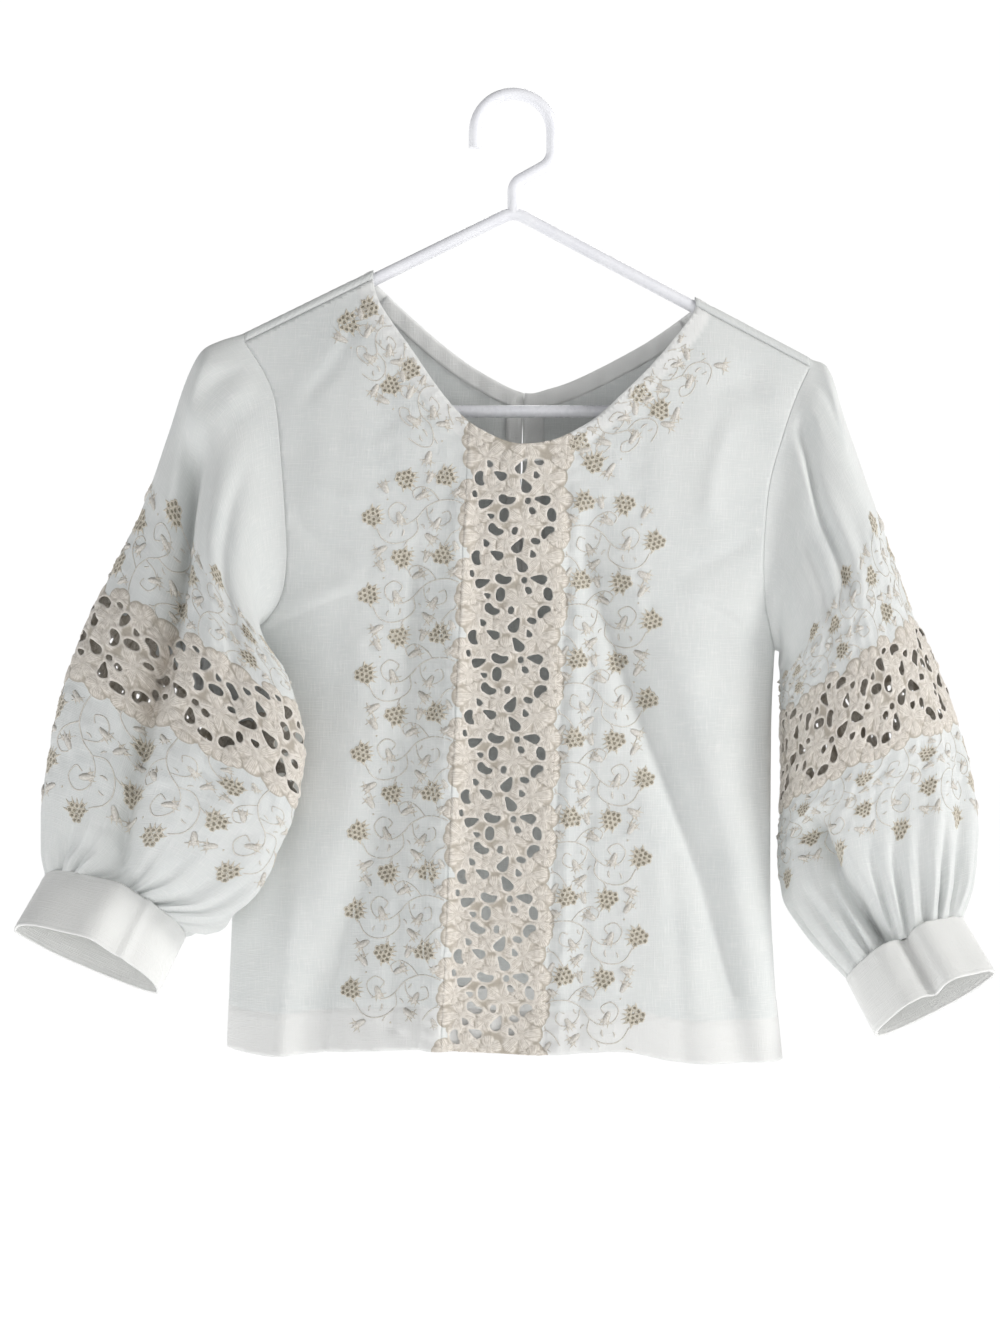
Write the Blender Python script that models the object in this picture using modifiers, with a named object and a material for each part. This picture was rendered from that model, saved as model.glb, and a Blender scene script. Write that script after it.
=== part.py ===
"""A short puff-sleeve top of white cloth with cutwork bands, hanging on a tubular hanger.

Lengths below are in millimetres; the meshes are made in metres. +Z is up, the front faces -Y, and the
origin is where a rail touches the inside of the hook. A drop is measured down from the hanger's apex.
"""

import math
from collections import namedtuple
from functools import lru_cache

import bmesh
import bpy
from mathutils import Vector
from mathutils.geometry import delaunay_2d_cdt

MM = 0.001

# Driving sizes of the hanger
TUBE_RADIUS = 4.0
HOOK_RADIUS = 25.0
HOOK_RISE = 73.0
APEX_DROP = -1.0
LEFT_SLOPE = 0.49
RIGHT_SLOPE = 0.53
HANGER_HALF_SPAN = 192.0
BAR_DROP = 128.0

# Driving sizes of the cloth
CLOTH = 1.0
FACING = 0.8
CUFF_CLOTH = 1.8
SEAM_GAP = 0.35
SIDE_GAP = 0.12
FACING_GAP = 0.7
OVER_ARM = 6.1
BAND_HALF_WIDTH = 30.5
REPEAT = 50.0
HEM_DEPTH = 27.0
FACING_WIDTH = 11.0
SLIT_DEPTH = 110.0
SLIT_WIDTH = 2.4
SLIT_X = 5.5
SLEEVE_GIRTH = 430.0
SLEEVE_LENGTH = 330.0
CUFF_HEIGHT = 42.0
GATHERS = 18
ARMHOLE_STEP = 9.0
REPEATS_ROUND_SLEEVE = 8
SLEEVE_BAND_TOP = 0.475
SLEEVE_BAND_END = 0.645

# How far the front and the back stand out from the hanger's plane, and how fast they get there
FRONT_OPEN = 40.0
BACK_OPEN = 30.0
OPENS_OVER = 95.0
SIDE_POWER = 3.2
SIDE_EASE = 0.08
FRONT, BACK = -1.0, 1.0

Side = namedtuple("Side", "drop left right")
BODY_SIDES = (
    Side(40, -205, 215),
    Side(160, -200, 197),
    Side(240, -190, 177),
    Side(280, -183, 168.5),
    Side(340, -181, 166),
    Side(430, -181, 165.5),
    Side(490, -183, 168),
    Side(548, -185, 173.5),
)

Spot = namedtuple("Spot", "x drop")
FRONT_NECK = (
    Spot(-90.5, 43.7),
    Spot(-85, 61),
    Spot(-64.5, 91.5),
    Spot(-44.5, 120.5),
    Spot(-27.5, 138.5),
    Spot(-8, 149),
    Spot(5.5, 152),
    Spot(21, 150.5),
    Spot(34, 145.5),
    Spot(54, 133),
    Spot(84.5, 104),
    Spot(109, 75),
    Spot(117, 61.3),
)
BACK_NECK = (
    Spot(-90.5, 43.5),
    Spot(-67.5, 64.5),
    Spot(-44.5, 84),
    Spot(-22, 99.5),
    Spot(5.5, 113),
    Spot(24, 110.5),
    Spot(47, 102),
    Spot(77, 87),
    Spot(97, 75),
    Spot(117, 61),
)
LEFT_ARMHOLE = (
    Spot(-173, 83.8),
    Spot(-160, 104),
    Spot(-152, 125),
    Spot(-148, 160),
    Spot(-145, 199),
    Spot(-144, 228),
    Spot(-149, 252),
    Spot(-163, 268),
    Spot(-182.9, 277),
)
RIGHT_ARMHOLE = (
    Spot(190.6, 100.0),
    Spot(181, 120),
    Spot(172, 145),
    Spot(163.5, 174),
    Spot(160, 203),
    Spot(159, 230),
    Spot(161.5, 256),
    Spot(168.4, 282),
)
FRONT_HEM = (
    Spot(-184.6, 536.5),
    Spot(-154, 539),
    Spot(-106, 535.5),
    Spot(-56, 533),
    Spot(-22, 534.5),
    Spot(16, 536.5),
    Spot(66, 534.5),
    Spot(97, 540.5),
    Spot(121, 543.5),
    Spot(173.2, 544.5),
)

# Folds of the body: the line that each follows, its half width, and how far it comes out (+) or sinks (-)
Fold = namedtuple("Fold", "face width depth line")
BODY_FOLDS = (
    Fold(FRONT, 13, -11, ((36, 190), (60, 255), (89, 335), (121, 424), (150, 560))),
    Fold(FRONT, 17, 8, ((95, 250), (125, 350), (150, 440), (165, 560))),
    Fold(FRONT, 15, -10, ((-50, 200), (-62, 300), (-83, 404), (-112, 480), (-126, 560))),
    Fold(FRONT, 9, 6, ((-36, 180), (-40, 330), (-52, 560))),
    Fold(FRONT, 10, 7, ((-140, 420), (-152, 560))),
    Fold(FRONT, 12, -5, ((112, 117), (178, 108))),
    Fold(BACK, 18, -9, ((-70, 200), (-78, 380), (-92, 560))),
    Fold(BACK, 18, -9, ((78, 220), (84, 400), (96, 560))),
    Fold(BACK, 14, 6, ((10, 260), (6, 420), (0, 560))),
)
FOLD_FADE = 45.0

# Rings of each sleeve from armhole (at 0) to cuff seam (at 1): the two ends of the ring as the front shows
# them, the place of the underarm seam, the depth before and behind, and the tilt towards the front
Ring = namedtuple(
    "Ring", "at outer_x outer_y outer_drop inner_x inner_y inner_drop seam_x seam_y seam_drop front back tilt"
)
LEFT_RINGS = (
    Ring(0.00, -173, 0, 77.7, -166, -20, 270, -183, 0, 277.0, 18, 18, 0),
    Ring(0.04, -188, 0, 82, -168, -30, 271, -186.5, -4, 277.5, 20, 20, 0),
    Ring(0.08, -200, 0, 88, -167, -36, 273, -187, -6, 279, 23, 23, 0),
    Ring(0.13, -209, 0, 103, -163, -40, 276, -186, -8, 282, 25, 24, 0),
    Ring(0.23, -223, 0, 144, -154, -45, 282, -185, -8, 291, 28, 25, 0),
    Ring(0.33, -238, 0, 187, -145, -50, 292, -185, -8, 305, 32, 25, 2),
    Ring(0.475, -263, 0, 240, -136, -56, 316, -185, -8, 332, 36, 26, 5),
    Ring(0.56, -277, -2, 271, -131, -58, 346, -185, -8, 356, 38, 26, 8),
    Ring(0.645, -288, -4, 302, -135, -58, 380, -186, -8, 382, 38, 27, 12),
    Ring(0.76, -298, -6, 347, -146, -52, 407, -188, -9, 414, 38, 26, 18),
    Ring(0.87, -304, -6, 390, -166, -41, 441, -193, -12, 445, 34, 23, 24),
    Ring(0.94, -304, -6, 411, -187, -27, 460, -201, -13, 459, 32, 17, 28),
    Ring(1.00, -301, -6, 428, -211, -12, 466, -211, -12, 466, 32, 10, 30),
)
RIGHT_RINGS = (
    Ring(0.00, 190.6, 0, 94.2, 168.4, 0, 282, 168.4, 0, 282, 16, 14, 0),
    Ring(0.05, 200, 0, 97.3, 170.5, 0, 282.5, 170.5, 0, 282.5, 20, 18, 0),
    Ring(0.09, 205, 0, 105, 171.5, 0, 284, 171.5, 0, 284, 25, 22, 0),
    Ring(0.15, 212, 0, 129, 171, 0, 291, 171, 0, 291, 32, 27, 0),
    Ring(0.24, 226, 0, 170, 172, 2, 297, 172, 2, 297, 40, 32, 0),
    Ring(0.34, 240, 0, 210, 172.5, 4, 305, 172.5, 4, 305, 46, 36, 2),
    Ring(0.475, 258, 0, 262, 173, 5, 322, 173, 5, 322, 50, 38, 5),
    Ring(0.56, 272, -2, 295, 173.5, 5, 353, 173.5, 5, 353, 52, 38, 8),
    Ring(0.645, 285, -4, 332, 172.5, 5, 386, 172.5, 5, 386, 50, 38, 12),
    Ring(0.76, 294, -6, 362, 170.5, 4, 412, 170.5, 4, 412, 44, 36, 18),
    Ring(0.87, 298.5, -8, 398, 173, 0, 440, 173, 0, 440, 38, 30, 24),
    Ring(0.94, 296, -10, 428, 187, -4, 464, 187, -4, 464, 30, 22, 28),
    Ring(1.00, 287.5, -12, 455, 214.5, -8, 494, 214.5, -8, 494, 22, 12, 30),
)
JOINS_OVER = {"top": 0.02, "middle": 0.3, "underarm": 0.09}

# Long folds of the sleeves: (around, at) points, half width around, depth
SleeveFold = namedtuple("SleeveFold", "width depth line")
LEFT_FOLDS = (
    SleeveFold(0.034, -13, ((0.075, 0.14), (0.118, 0.286), (0.14, 0.47), (0.142, 0.64), (0.16, 0.85), (0.25, 1.0))),
    SleeveFold(0.030, -6, ((0.30, 0.72), (0.33, 1.0))),
    SleeveFold(0.040, -9, ((0.70, 0.30), (0.72, 0.6), (0.70, 1.0))),
)
RIGHT_FOLDS = (
    SleeveFold(0.026, -7, ((0.10, 0.03), (0.154, 0.113), (0.20, 0.20), (0.21, 0.36))),
    SleeveFold(0.030, -13, ((0.36, 0.78), (0.352, 0.918), (0.30, 1.0))),
    SleeveFold(0.040, -9, ((0.74, 0.30), (0.72, 0.6), (0.74, 1.0))),
)
SLEEVE_FOLD_FADE = 0.08

# Openings of one repeat of the cutwork, in a cell as wide as the band and one repeat long
Opening = namedtuple("Opening", "across along length width turn shape")
OVAL = ((-0.5, 0.0), (-0.22, -0.5), (0.26, -0.46), (0.5, 0.0), (0.24, 0.5), (-0.26, 0.46))
WEDGE = ((-0.5, 0.05), (0.18, -0.5), (0.5, -0.3), (0.46, 0.32), (0.14, 0.5))
CUTWORK = (
    Opening(3.5, 6.5, 9.5, 5.6, 118, WEDGE),
    Opening(5.5, 18.5, 10.0, 5.6, 60, WEDGE),
    Opening(-4.5, 28.0, 9.5, 5.4, 20, OVAL),
    Opening(-16.5, 30.0, 8.5, 5.4, 160, WEDGE),
    Opening(-5.5, 37.5, 8.5, 5.0, 95, OVAL),
    Opening(-9.0, 46.5, 9.5, 5.2, 40, WEDGE),
    Opening(15.5, 28.0, 9.0, 5.4, 10, WEDGE),
    Opening(21.5, 37.5, 8.5, 4.8, 80, OVAL),
    Opening(-22.0, 15.0, 8.5, 4.8, 85, OVAL),
    Opening(19.0, 48.0, 8.5, 5.0, 140, WEDGE),
    Opening(-10.0, 12.0, 7.5, 5.0, 30, WEDGE),
)

# Corners of the hook's centre line from the hanger's apex up, each with the radius of its bend
Corner = namedtuple("Corner", "x z bend")
HOOK_LINE = (
    Corner(0, 0, 0),
    Corner(0, 19, 9),
    Corner(HOOK_RADIUS, 33, 12),
    Corner(HOOK_RADIUS, HOOK_RISE + TUBE_RADIUS, HOOK_RADIUS),
    Corner(-HOOK_RADIUS, HOOK_RISE + TUBE_RADIUS, HOOK_RADIUS),
    Corner(-HOOK_RADIUS, 42, 0),
)

COLOURS = {
    "cloth": (0.86, 0.87, 0.86, 1.0),
    "cutwork": (0.80, 0.75, 0.68, 1.0),
    "hanger": (0.86, 0.87, 0.92, 1.0),
    "button": (0.90, 0.88, 0.84, 1.0),
}
ROUGHNESS = {"cloth": 0.85, "cutwork": 0.8, "hanger": 0.3, "button": 0.35}


def clear_scene():
    for old in list(bpy.data.objects):
        bpy.data.objects.remove(old, do_unlink=True)


def material(name):
    made = bpy.data.materials.get(name) or bpy.data.materials.new(name)
    made.use_nodes = True
    shader = made.node_tree.nodes["Principled BSDF"]
    shader.inputs["Base Color"].default_value = COLOURS[name]
    shader.inputs["Roughness"].default_value = ROUGHNESS[name]
    shader.inputs["Metallic"].default_value = 0.0
    return made


def keep(obj, collection, finish):
    obj.data.materials.append(material(finish))
    collection.objects.link(obj)
    return obj


def smooth(value, low, high):
    """0 below low, 1 above high, and an even S between."""
    t = min(1.0, max(0.0, (value - low) / (high - low)))
    return t * t * (3 - 2 * t)


def curved(rows, key, column, at):
    """A column of a table read at a key, on a curve through its rows that never overshoots them."""
    keys = [getattr(row, key) for row in rows]
    values = [getattr(row, column) for row in rows]
    at = min(max(at, keys[0]), keys[-1])
    i = max(k for k in range(len(keys) - 1) if keys[k] <= at)
    steps = [(values[k + 1] - values[k]) / (keys[k + 1] - keys[k]) for k in range(len(keys) - 1)]

    def slope(k):
        if k == 0 or k == len(steps):
            return steps[min(k, len(steps) - 1)]
        if steps[k - 1] * steps[k] <= 0:
            return 0.0
        return 2 * steps[k - 1] * steps[k] / (steps[k - 1] + steps[k])

    gap = keys[i + 1] - keys[i]
    t = (at - keys[i]) / gap
    return (
        values[i] * (1 + 2 * t) * (1 - t) ** 2
        + values[i + 1] * t * t * (3 - 2 * t)
        + slope(i) * gap * t * (1 - t) ** 2
        - slope(i + 1) * gap * t * t * (1 - t)
    )


def rounded(points, steps=4):
    """A smooth open curve through the points, with that many steps between each two."""
    ends = [points[0], *points, points[-1]]
    made = []
    for a, b, c, d in zip(ends, ends[1:], ends[2:], ends[3:]):
        for k in range(steps):
            t = k / steps
            made.append(
                tuple(
                    0.5 * (2 * q + (r - p) * t + (2 * p - 5 * q + 4 * r - s) * t * t
                           + (3 * q - p - 3 * r + s) * t ** 3)
                    for p, q, r, s in zip(a, b, c, d)
                )
            )
    made.append(tuple(points[-1]))
    return made


def spaced(line, step):
    """The line again with points about one step apart, its two ends kept. No step leaves it as it is."""
    if not step:
        return list(line)
    lengths = [0.0]
    for a, b in zip(line, line[1:]):
        lengths.append(lengths[-1] + math.dist(a, b))
    count = max(1, round(lengths[-1] / step))
    made, k = [], 0
    for n in range(count + 1):
        want = lengths[-1] * n / count
        while k < len(line) - 2 and lengths[k + 1] < want:
            k += 1
        t = (want - lengths[k]) / max(1e-9, lengths[k + 1] - lengths[k])
        made.append(tuple(p + (q - p) * t for p, q in zip(line[k], line[k + 1])))
    return made


def read_line(line, column, value):
    """The other coordinate of a line where its given column has that value."""
    for a, b in zip(line, line[1:]):
        low, high = sorted((a[column], b[column]))
        if low <= value <= high and high > low:
            t = (value - a[column]) / (b[column] - a[column])
            return a[1 - column] + (b[1 - column] - a[1 - column]) * t
    return min(line, key=lambda p: abs(p[column] - value))[1 - column]


def part_of(line, low, high):
    """The stretch of a line, given left to right, that lies between two values of x."""
    inside = [p for p in line if low + 1 < p[0] < high - 1]
    return [(low, read_line(line, 0, low)), *inside, (high, read_line(line, 0, high))]


def moved_in(line, width):
    """The line moved square to itself towards the cloth below it."""
    made = []
    for k, p in enumerate(line):
        a, b = line[max(0, k - 1)], line[min(len(line) - 1, k + 1)]
        run = math.dist(a, b)
        made.append((p[0] - (b[1] - a[1]) / run * width, p[1] + (b[0] - a[0]) / run * width))
    return made


def off_line(x, y, line):
    """(distance from the line, share of the way along it, length of the way left to its nearer end)."""
    best, passed, found, total = 1e9, 0.0, 0.0, 0.0
    for a, b in zip(line, line[1:]):
        length = math.dist(a, b)
        t = ((x - a[0]) * (b[0] - a[0]) + (y - a[1]) * (b[1] - a[1])) / length ** 2
        t = min(1.0, max(0.0, t))
        away = math.dist((x, y), (a[0] + (b[0] - a[0]) * t, a[1] + (b[1] - a[1]) * t))
        if away < best:
            best, found = away, passed + length * t
        passed += length
    total = passed
    return best, found, total - found


def inside(x, y, loop):
    crossed = False
    for (x1, y1), (x2, y2) in zip(loop, loop[1:] + loop[:1]):
        if (y1 > y) != (y2 > y) and x < x1 + (x2 - x1) * (y - y1) / (y2 - y1):
            crossed = not crossed
    return crossed


def arm_drop(x):
    """How far down the middle of the hanger's arm is there."""
    return APEX_DROP + abs(x) * (LEFT_SLOPE if x < 0 else RIGHT_SLOPE)


def arm_lean(x):
    """How much taller an upright cut of the arm is than its tube."""
    return math.hypot(1, LEFT_SLOPE if x < 0 else RIGHT_SLOPE)


def body_width(drop):
    left = curved(BODY_SIDES, "drop", "left", drop)
    right = curved(BODY_SIDES, "drop", "right", drop)
    return (left + right) / 2, (right - left) / 2


def across_of(x, drop):
    """Where a point of the front view lies across the flat cloth, which also runs round to the side seam."""
    middle, half = body_width(drop)
    rest = max(0.0, 1 - abs(x - middle) / half)
    ease = 4 * (1 + SIDE_EASE) * rest * SIDE_EASE
    edge = (rest + math.sqrt(rest * rest + ease)) / (2 * (1 + SIDE_EASE))
    return math.copysign((1 - edge) * half, x - middle)


def x_of(across, drop):
    middle, half = body_width(drop)
    edge = max(0.0, 1 - abs(across) / half)
    rest = (1 + SIDE_EASE) * edge * edge / (edge + SIDE_EASE)
    return middle + math.copysign((1 - rest) * half, across)


def straight(start, end, count=8):
    return [tuple(a + (b - a) * k / count for a, b in zip(start, end)) for k in range(count + 1)]


def flat(line):
    """A line of the front view laid out on the flat cloth."""
    return [(across_of(x, drop), drop) for x, drop in line]


def body_folds(face, x, drop):
    total = 0.0
    for fold in BODY_FOLDS:
        if fold.face == face:
            away, before, after = off_line(x, drop, fold.line)
            fade = smooth(before, 0, FOLD_FADE)
            if fold.line[-1][1] < 500:
                fade *= smooth(after, 0, FOLD_FADE)
            total += fold.depth * fade * math.exp(-((away / fold.width) ** 2))
    return total


def body_point(face, across, drop):
    """A point of the body's outer side, where the cloth hangs below the hanger's arms."""
    x = x_of(across, drop)
    middle, half = body_width(drop)
    share = min(1.0, abs(x - middle) / half)
    side = math.sqrt(max(0.0, 1 - share ** SIDE_POWER))
    below = max(0.0, drop - arm_drop(x))
    opened = (FRONT_OPEN if face == FRONT else BACK_OPEN) * (1 - math.exp(-below / OPENS_OVER))
    close = smooth(drop, 225, 270)
    depth = SEAM_GAP / 2 + OVER_ARM * (1 - close * (1 - side)) + opened * side
    depth += body_folds(face, x, drop) * side
    return Vector((x, face * depth, -HOOK_RISE - drop))


def lifted(place, p, lift, face):
    """A point of the cloth moved out by lift, square to it."""
    here = place(p)
    if not lift:
        return here
    across, down = place((p[0] + 0.5, p[1])), place((p[0], p[1] + 0.5))
    return here + (across - here).cross(down - here).normalized() * face * lift


def front_point(p, lift=0.0):
    return lifted(lambda q: body_point(FRONT, *q), p, lift, FRONT)


def back_wrap(p):
    """The back runs up, over the hanger's arm and down to the shoulder seam in front of it."""
    across, drop = p
    x = x_of(across, drop)
    over = arm_drop(x) - drop
    if over <= 0:
        return body_point(BACK, across, drop)
    turn = min(math.pi, over / OVER_ARM)
    height = OVER_ARM * math.sin(turn) * arm_lean(x)
    return Vector((x, OVER_ARM * math.cos(turn), -HOOK_RISE - arm_drop(x) + height))


def back_point(p, lift=0.0):
    return lifted(back_wrap, p, lift, BACK)


def armhole_seam(side):
    """The seam in the front view, from the arm of the hanger down to the underarm."""
    return spaced(rounded(LEFT_ARMHOLE if side < 0 else RIGHT_ARMHOLE), ARMHOLE_STEP)


def armhole_edge(side):
    """The body's own edge along the armhole, a seam's gap inside the seam."""
    return moved_in(armhole_seam(side), side * SEAM_GAP)


def armhole_loop(side):
    """Before and behind, from the top of the shoulder down: (share of the way, place, way out) per point."""
    seam = armhole_seam(side)
    tip = seam[0][0]
    loops = []
    for face in (FRONT, BACK):
        line = []
        for turn in (0, math.pi / 4):
            way = Vector((0, face * math.sin(turn), math.cos(turn)))
            height = OVER_ARM * math.cos(turn) * arm_lean(tip)
            line.append((Vector((tip, face * OVER_ARM * math.sin(turn), height - HOOK_RISE - arm_drop(tip))), way))
        for x, drop in seam:
            spot = (across_of(x, drop), drop)
            place = body_point(face, *spot)
            out = lifted(lambda q: body_point(face, *q), spot, 1.0, face) - place
            line.append((place, out))
        line[-1] = (Vector((line[-1][0].x, 0, line[-1][0].z)), Vector((side, 0, 0)))
        lengths = [0.0]
        for (here, _), (after, _) in zip(line, line[1:]):
            lengths.append(lengths[-1] + (after - here).length)
        loops.append([(length / lengths[-1], *point) for length, point in zip(lengths, line)])
    return loops


@lru_cache(maxsize=None)
def even_angles(half_length, depth, steps=24):
    """(arc length, shares of it gone by at even angles) of half an ellipse."""
    lengths = [0.0]
    for k in range(steps):
        a, b = math.pi * k / steps, math.pi * (k + 1) / steps
        run = half_length * (math.cos(a) - math.cos(b))
        lengths.append(lengths[-1] + math.hypot(run, depth * (math.sin(b) - math.sin(a))))
    return lengths[-1], [length / lengths[-1] for length in lengths]


def angle_at(share, shares):
    """The angle on half an ellipse where that share of its arc has gone by."""
    k = max(i for i in range(len(shares) - 1) if shares[i] <= share)
    return math.pi * (k + (share - shares[k]) / (shares[k + 1] - shares[k])) / (len(shares) - 1)


def read_share(loop, share):
    """(place, way out) at that share of the way along an armhole's loop."""
    for (low, place, out), (high, after, way) in zip(loop, loop[1:]):
        if share <= high:
            t = (share - low) / (high - low)
            return place.lerp(after, t), out.lerp(way, t)
    return loop[-1][1], loop[-1][2]


class Sleeve:
    """One sleeve as a tube: around runs 0 to 1 from the top down the front to the underarm and back."""

    def __init__(self, side, rings, folds):
        self.side, self.rings, self.folds = side, rings, folds
        self.before, self.behind = armhole_loop(side)

    def ring(self, around, at):
        """(place, way out) on the sleeve's own ring, before its folds."""
        row = {name: curved(self.rings, "at", name, at) for name in Ring._fields[1:]}
        outer, inner, seam = (
            Vector((row[f"{end}_x"], row[f"{end}_y"], -HOOK_RISE - row[f"{end}_drop"]))
            for end in ("outer", "inner", "seam")
        )
        before = around <= 0.5
        share = 2 * around if before else 2 - 2 * around
        main = (inner if before else seam) - outer
        depth = row["front"] if before else row["back"]
        arc, shares = even_angles(round(main.length / 2, 1), round(depth, 1))
        if before:
            turn_back = (seam - inner).length
            passed = share * (arc + turn_back)
            if passed > arc:
                t = (passed - arc) / turn_back
                out = main.normalized() * (1 - t) + (seam - outer).normalized() * t
                return inner.lerp(seam, t), (out + Vector((0, math.sin(math.pi * t), 0))).normalized()
            share = passed / arc
        tilt = math.radians(row["tilt"])
        down = Vector((main.z, 0, -main.x)).normalized()
        down = -down if down.z > 0 else down
        forward = (Vector((0, -math.cos(tilt), 0)) - down * math.sin(tilt)) * (1 if before else -1)
        angle = angle_at(share, shares)
        place = outer + main * (1 - math.cos(angle)) / 2 + forward * depth * math.sin(angle)
        out = forward * math.sin(angle) * main.length / 2 - main.normalized() * math.cos(angle) * depth
        return place, out.normalized()

    def joins_over(self, share, before):
        """How far down the sleeve the armhole's shape lasts, at that share of the way down the armhole."""
        low, high = (0.86, 1.0) if before else (0.6, 0.92)
        top, middle, underarm = (JOINS_OVER[name] for name in ("top", "middle", "underarm"))
        return top + (middle - top) * smooth(share, 0, 0.25) - (middle - underarm) * smooth(share, low, high)

    def point(self, around, at, lift=0.0):
        around = around % 1.0
        place, out = self.ring(around, at)
        for fold in self.folds:
            away, before, after = off_line(around, at, fold.line)
            fade = smooth(before, 0, SLEEVE_FOLD_FADE)
            if fold.line[-1][1] < 0.99:
                fade *= smooth(after, 0, SLEEVE_FOLD_FADE)
            place += out * fold.depth * fade * math.exp(-((away / fold.width) ** 2))
        gather = smooth(at, 0.86, 0.96) * (1 - 0.7 * smooth(at, 0.96, 1.0))
        off_seam = SLEEVE_GIRTH * min(around, 1 - around, abs(0.5 - around))
        gather *= 1 - math.exp(-((off_seam / 10) ** 2))
        place += out * 2.6 * gather * math.cos(2 * math.pi * GATHERS * around)
        before = around <= 0.5
        share = 2 * around if before else 2 - 2 * around
        joined = 1 - (1 - min(1.0, at / self.joins_over(share, before))) ** 2
        seam, way = read_share(self.before if before else self.behind, share)
        place = seam.lerp(place, joined)
        if lift:
            turned = smooth(at, 0, 0.035)
            place = place + (way * (1 - turned) + self.out(around, at) * turned).normalized() * lift
        return place

    def out(self, around, at, step=0.004):
        here = self.point(around, at)
        side = self.point(around + step, at)
        down = self.point(around, at + step if at < 0.99 else at - step)
        return (side - here).cross(down - here).normalized() * (1 if at < 0.99 else -1) * self.side

    def placed(self, p, lift=0.0):
        return self.point(p[0] / SLEEVE_GIRTH, p[1] / SLEEVE_LENGTH, lift)


def opening_loop(cell, across, along, stretch=1.0):
    """The outline of one opening, set down at that place of the flat cloth."""
    turn = math.radians(cell.turn)
    loop = []
    for u, w in cell.shape:
        a = u * cell.length * math.cos(turn) - w * cell.width * math.sin(turn)
        b = u * cell.length * math.sin(turn) + w * cell.width * math.cos(turn)
        loop.append((across + cell.across + a, along + (cell.along + b) * stretch))
    return loop


def cut_cloth(edges, holes, step, rows=(), marks=(), filled=False):
    """Flat cloth with holes: (points, triangles). Its edge is the lines joined end to end.

    A mark is a line inside the edge that the triangles keep to, so a patch can end on it. Filled cloth
    has the same triangles and its holes closed.
    """
    outline = []
    for line, spacing in edges:
        outline += spaced(line, spacing)[:-1]
    points = list(outline)
    sides = [(k, (k + 1) % len(outline)) for k in range(len(outline))]
    for line, spacing in marks:
        first = len(points)
        points += spaced(line, spacing)
        sides += [(k, k + 1) for k in range(first, len(points) - 1)]
    for hole in holes:
        first = len(points)
        points += hole
        sides += [(first + k, first + (k + 1) % len(hole)) for k in range(len(hole))]
    fixed = points + list(rows)
    low_x, high_x = min(p[0] for p in outline), max(p[0] for p in outline)
    low_y, high_y = min(p[1] for p in outline), max(p[1] for p in outline)
    down = max(1, round((high_y - low_y) / (step * 0.9)))
    wide = max(1, round((high_x - low_x) / step))
    grid = [
        (low_x + (high_x - low_x) * (i + 0.5 * (j % 2)) / wide, low_y + (high_y - low_y) * j / down)
        for j in range(down + 1)
        for i in range(wide + 1)
    ]
    for x, y in [*rows, *grid]:
        near = 0.35 if (x, y) in rows else 0.62
        others = points if (x, y) in rows else fixed
        if inside(x, y, outline) and min(math.dist((x, y), q) for q in others) > near * step:
            if not any(inside(x, y, hole) for hole in holes):
                points.append((x, y))
    made = delaunay_2d_cdt([Vector(p) for p in points], sides, [], 1, 1e-4)
    corners, faces = [tuple(v) for v in made[0]], made[2]
    kept = []
    for face in faces:
        x = sum(corners[k][0] for k in face) / len(face)
        y = sum(corners[k][1] for k in face) / len(face)
        if inside(x, y, outline) and (filled or not any(inside(x, y, hole) for hole in holes)):
            kept.append(face)
    return corners, kept


def patch(cloth, keeps):
    """The part of a flat cloth whose triangles have their middles where keeps says."""
    corners, faces = cloth
    middles = [tuple(sum(corners[k][i] for k in face) / len(face) for i in (0, 1)) for face in faces]
    return corners, [face for face, middle in zip(faces, middles) if keeps(*middle)]


def wall(name, cloth, place, collection, finish="cloth", thick=CLOTH, under=0.0):
    """A closed wall of cloth: the flat cloth set in place that far under the outer side, and again below it."""
    corners, faces = cloth
    shape = bmesh.new()
    outer, inner = {}, {}
    for k in sorted({k for face in faces for k in face}):
        outer[k] = shape.verts.new(place(corners[k], -under) * MM)
        inner[k] = shape.verts.new(place(corners[k], -under - thick) * MM)
    sides = {(face[i], face[(i + 1) % len(face)]) for face in faces for i in range(len(face))}
    for face in faces:
        shape.faces.new([outer[k] for k in face])
        shape.faces.new([inner[k] for k in reversed(face)])
    for a, b in sorted(sides):
        if (b, a) not in sides:
            rim = shape.faces.new([outer[b], outer[a], inner[a], inner[b]])
            rim.edges[0].smooth = rim.edges[2].smooth = False
    bmesh.ops.recalc_face_normals(shape, faces=shape.faces)
    mesh = bpy.data.meshes.new(name)
    shape.to_mesh(mesh)
    shape.free()
    mesh.shade_smooth()
    return keep(bpy.data.objects.new(name, mesh), collection, finish)


def band_edge(side, drop):
    """x of one edge of the front's cutwork band, which leans a little as the top hangs."""
    return 1.0 - (drop - 181) * 0.0455 + side * BAND_HALF_WIDTH


def band_line(side, start, end, inset):
    steps = 12
    drops = [start + (end - start) * k / steps for k in range(steps + 1)]
    return [(band_edge(side, d) + inset, d) for d in drops]


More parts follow.
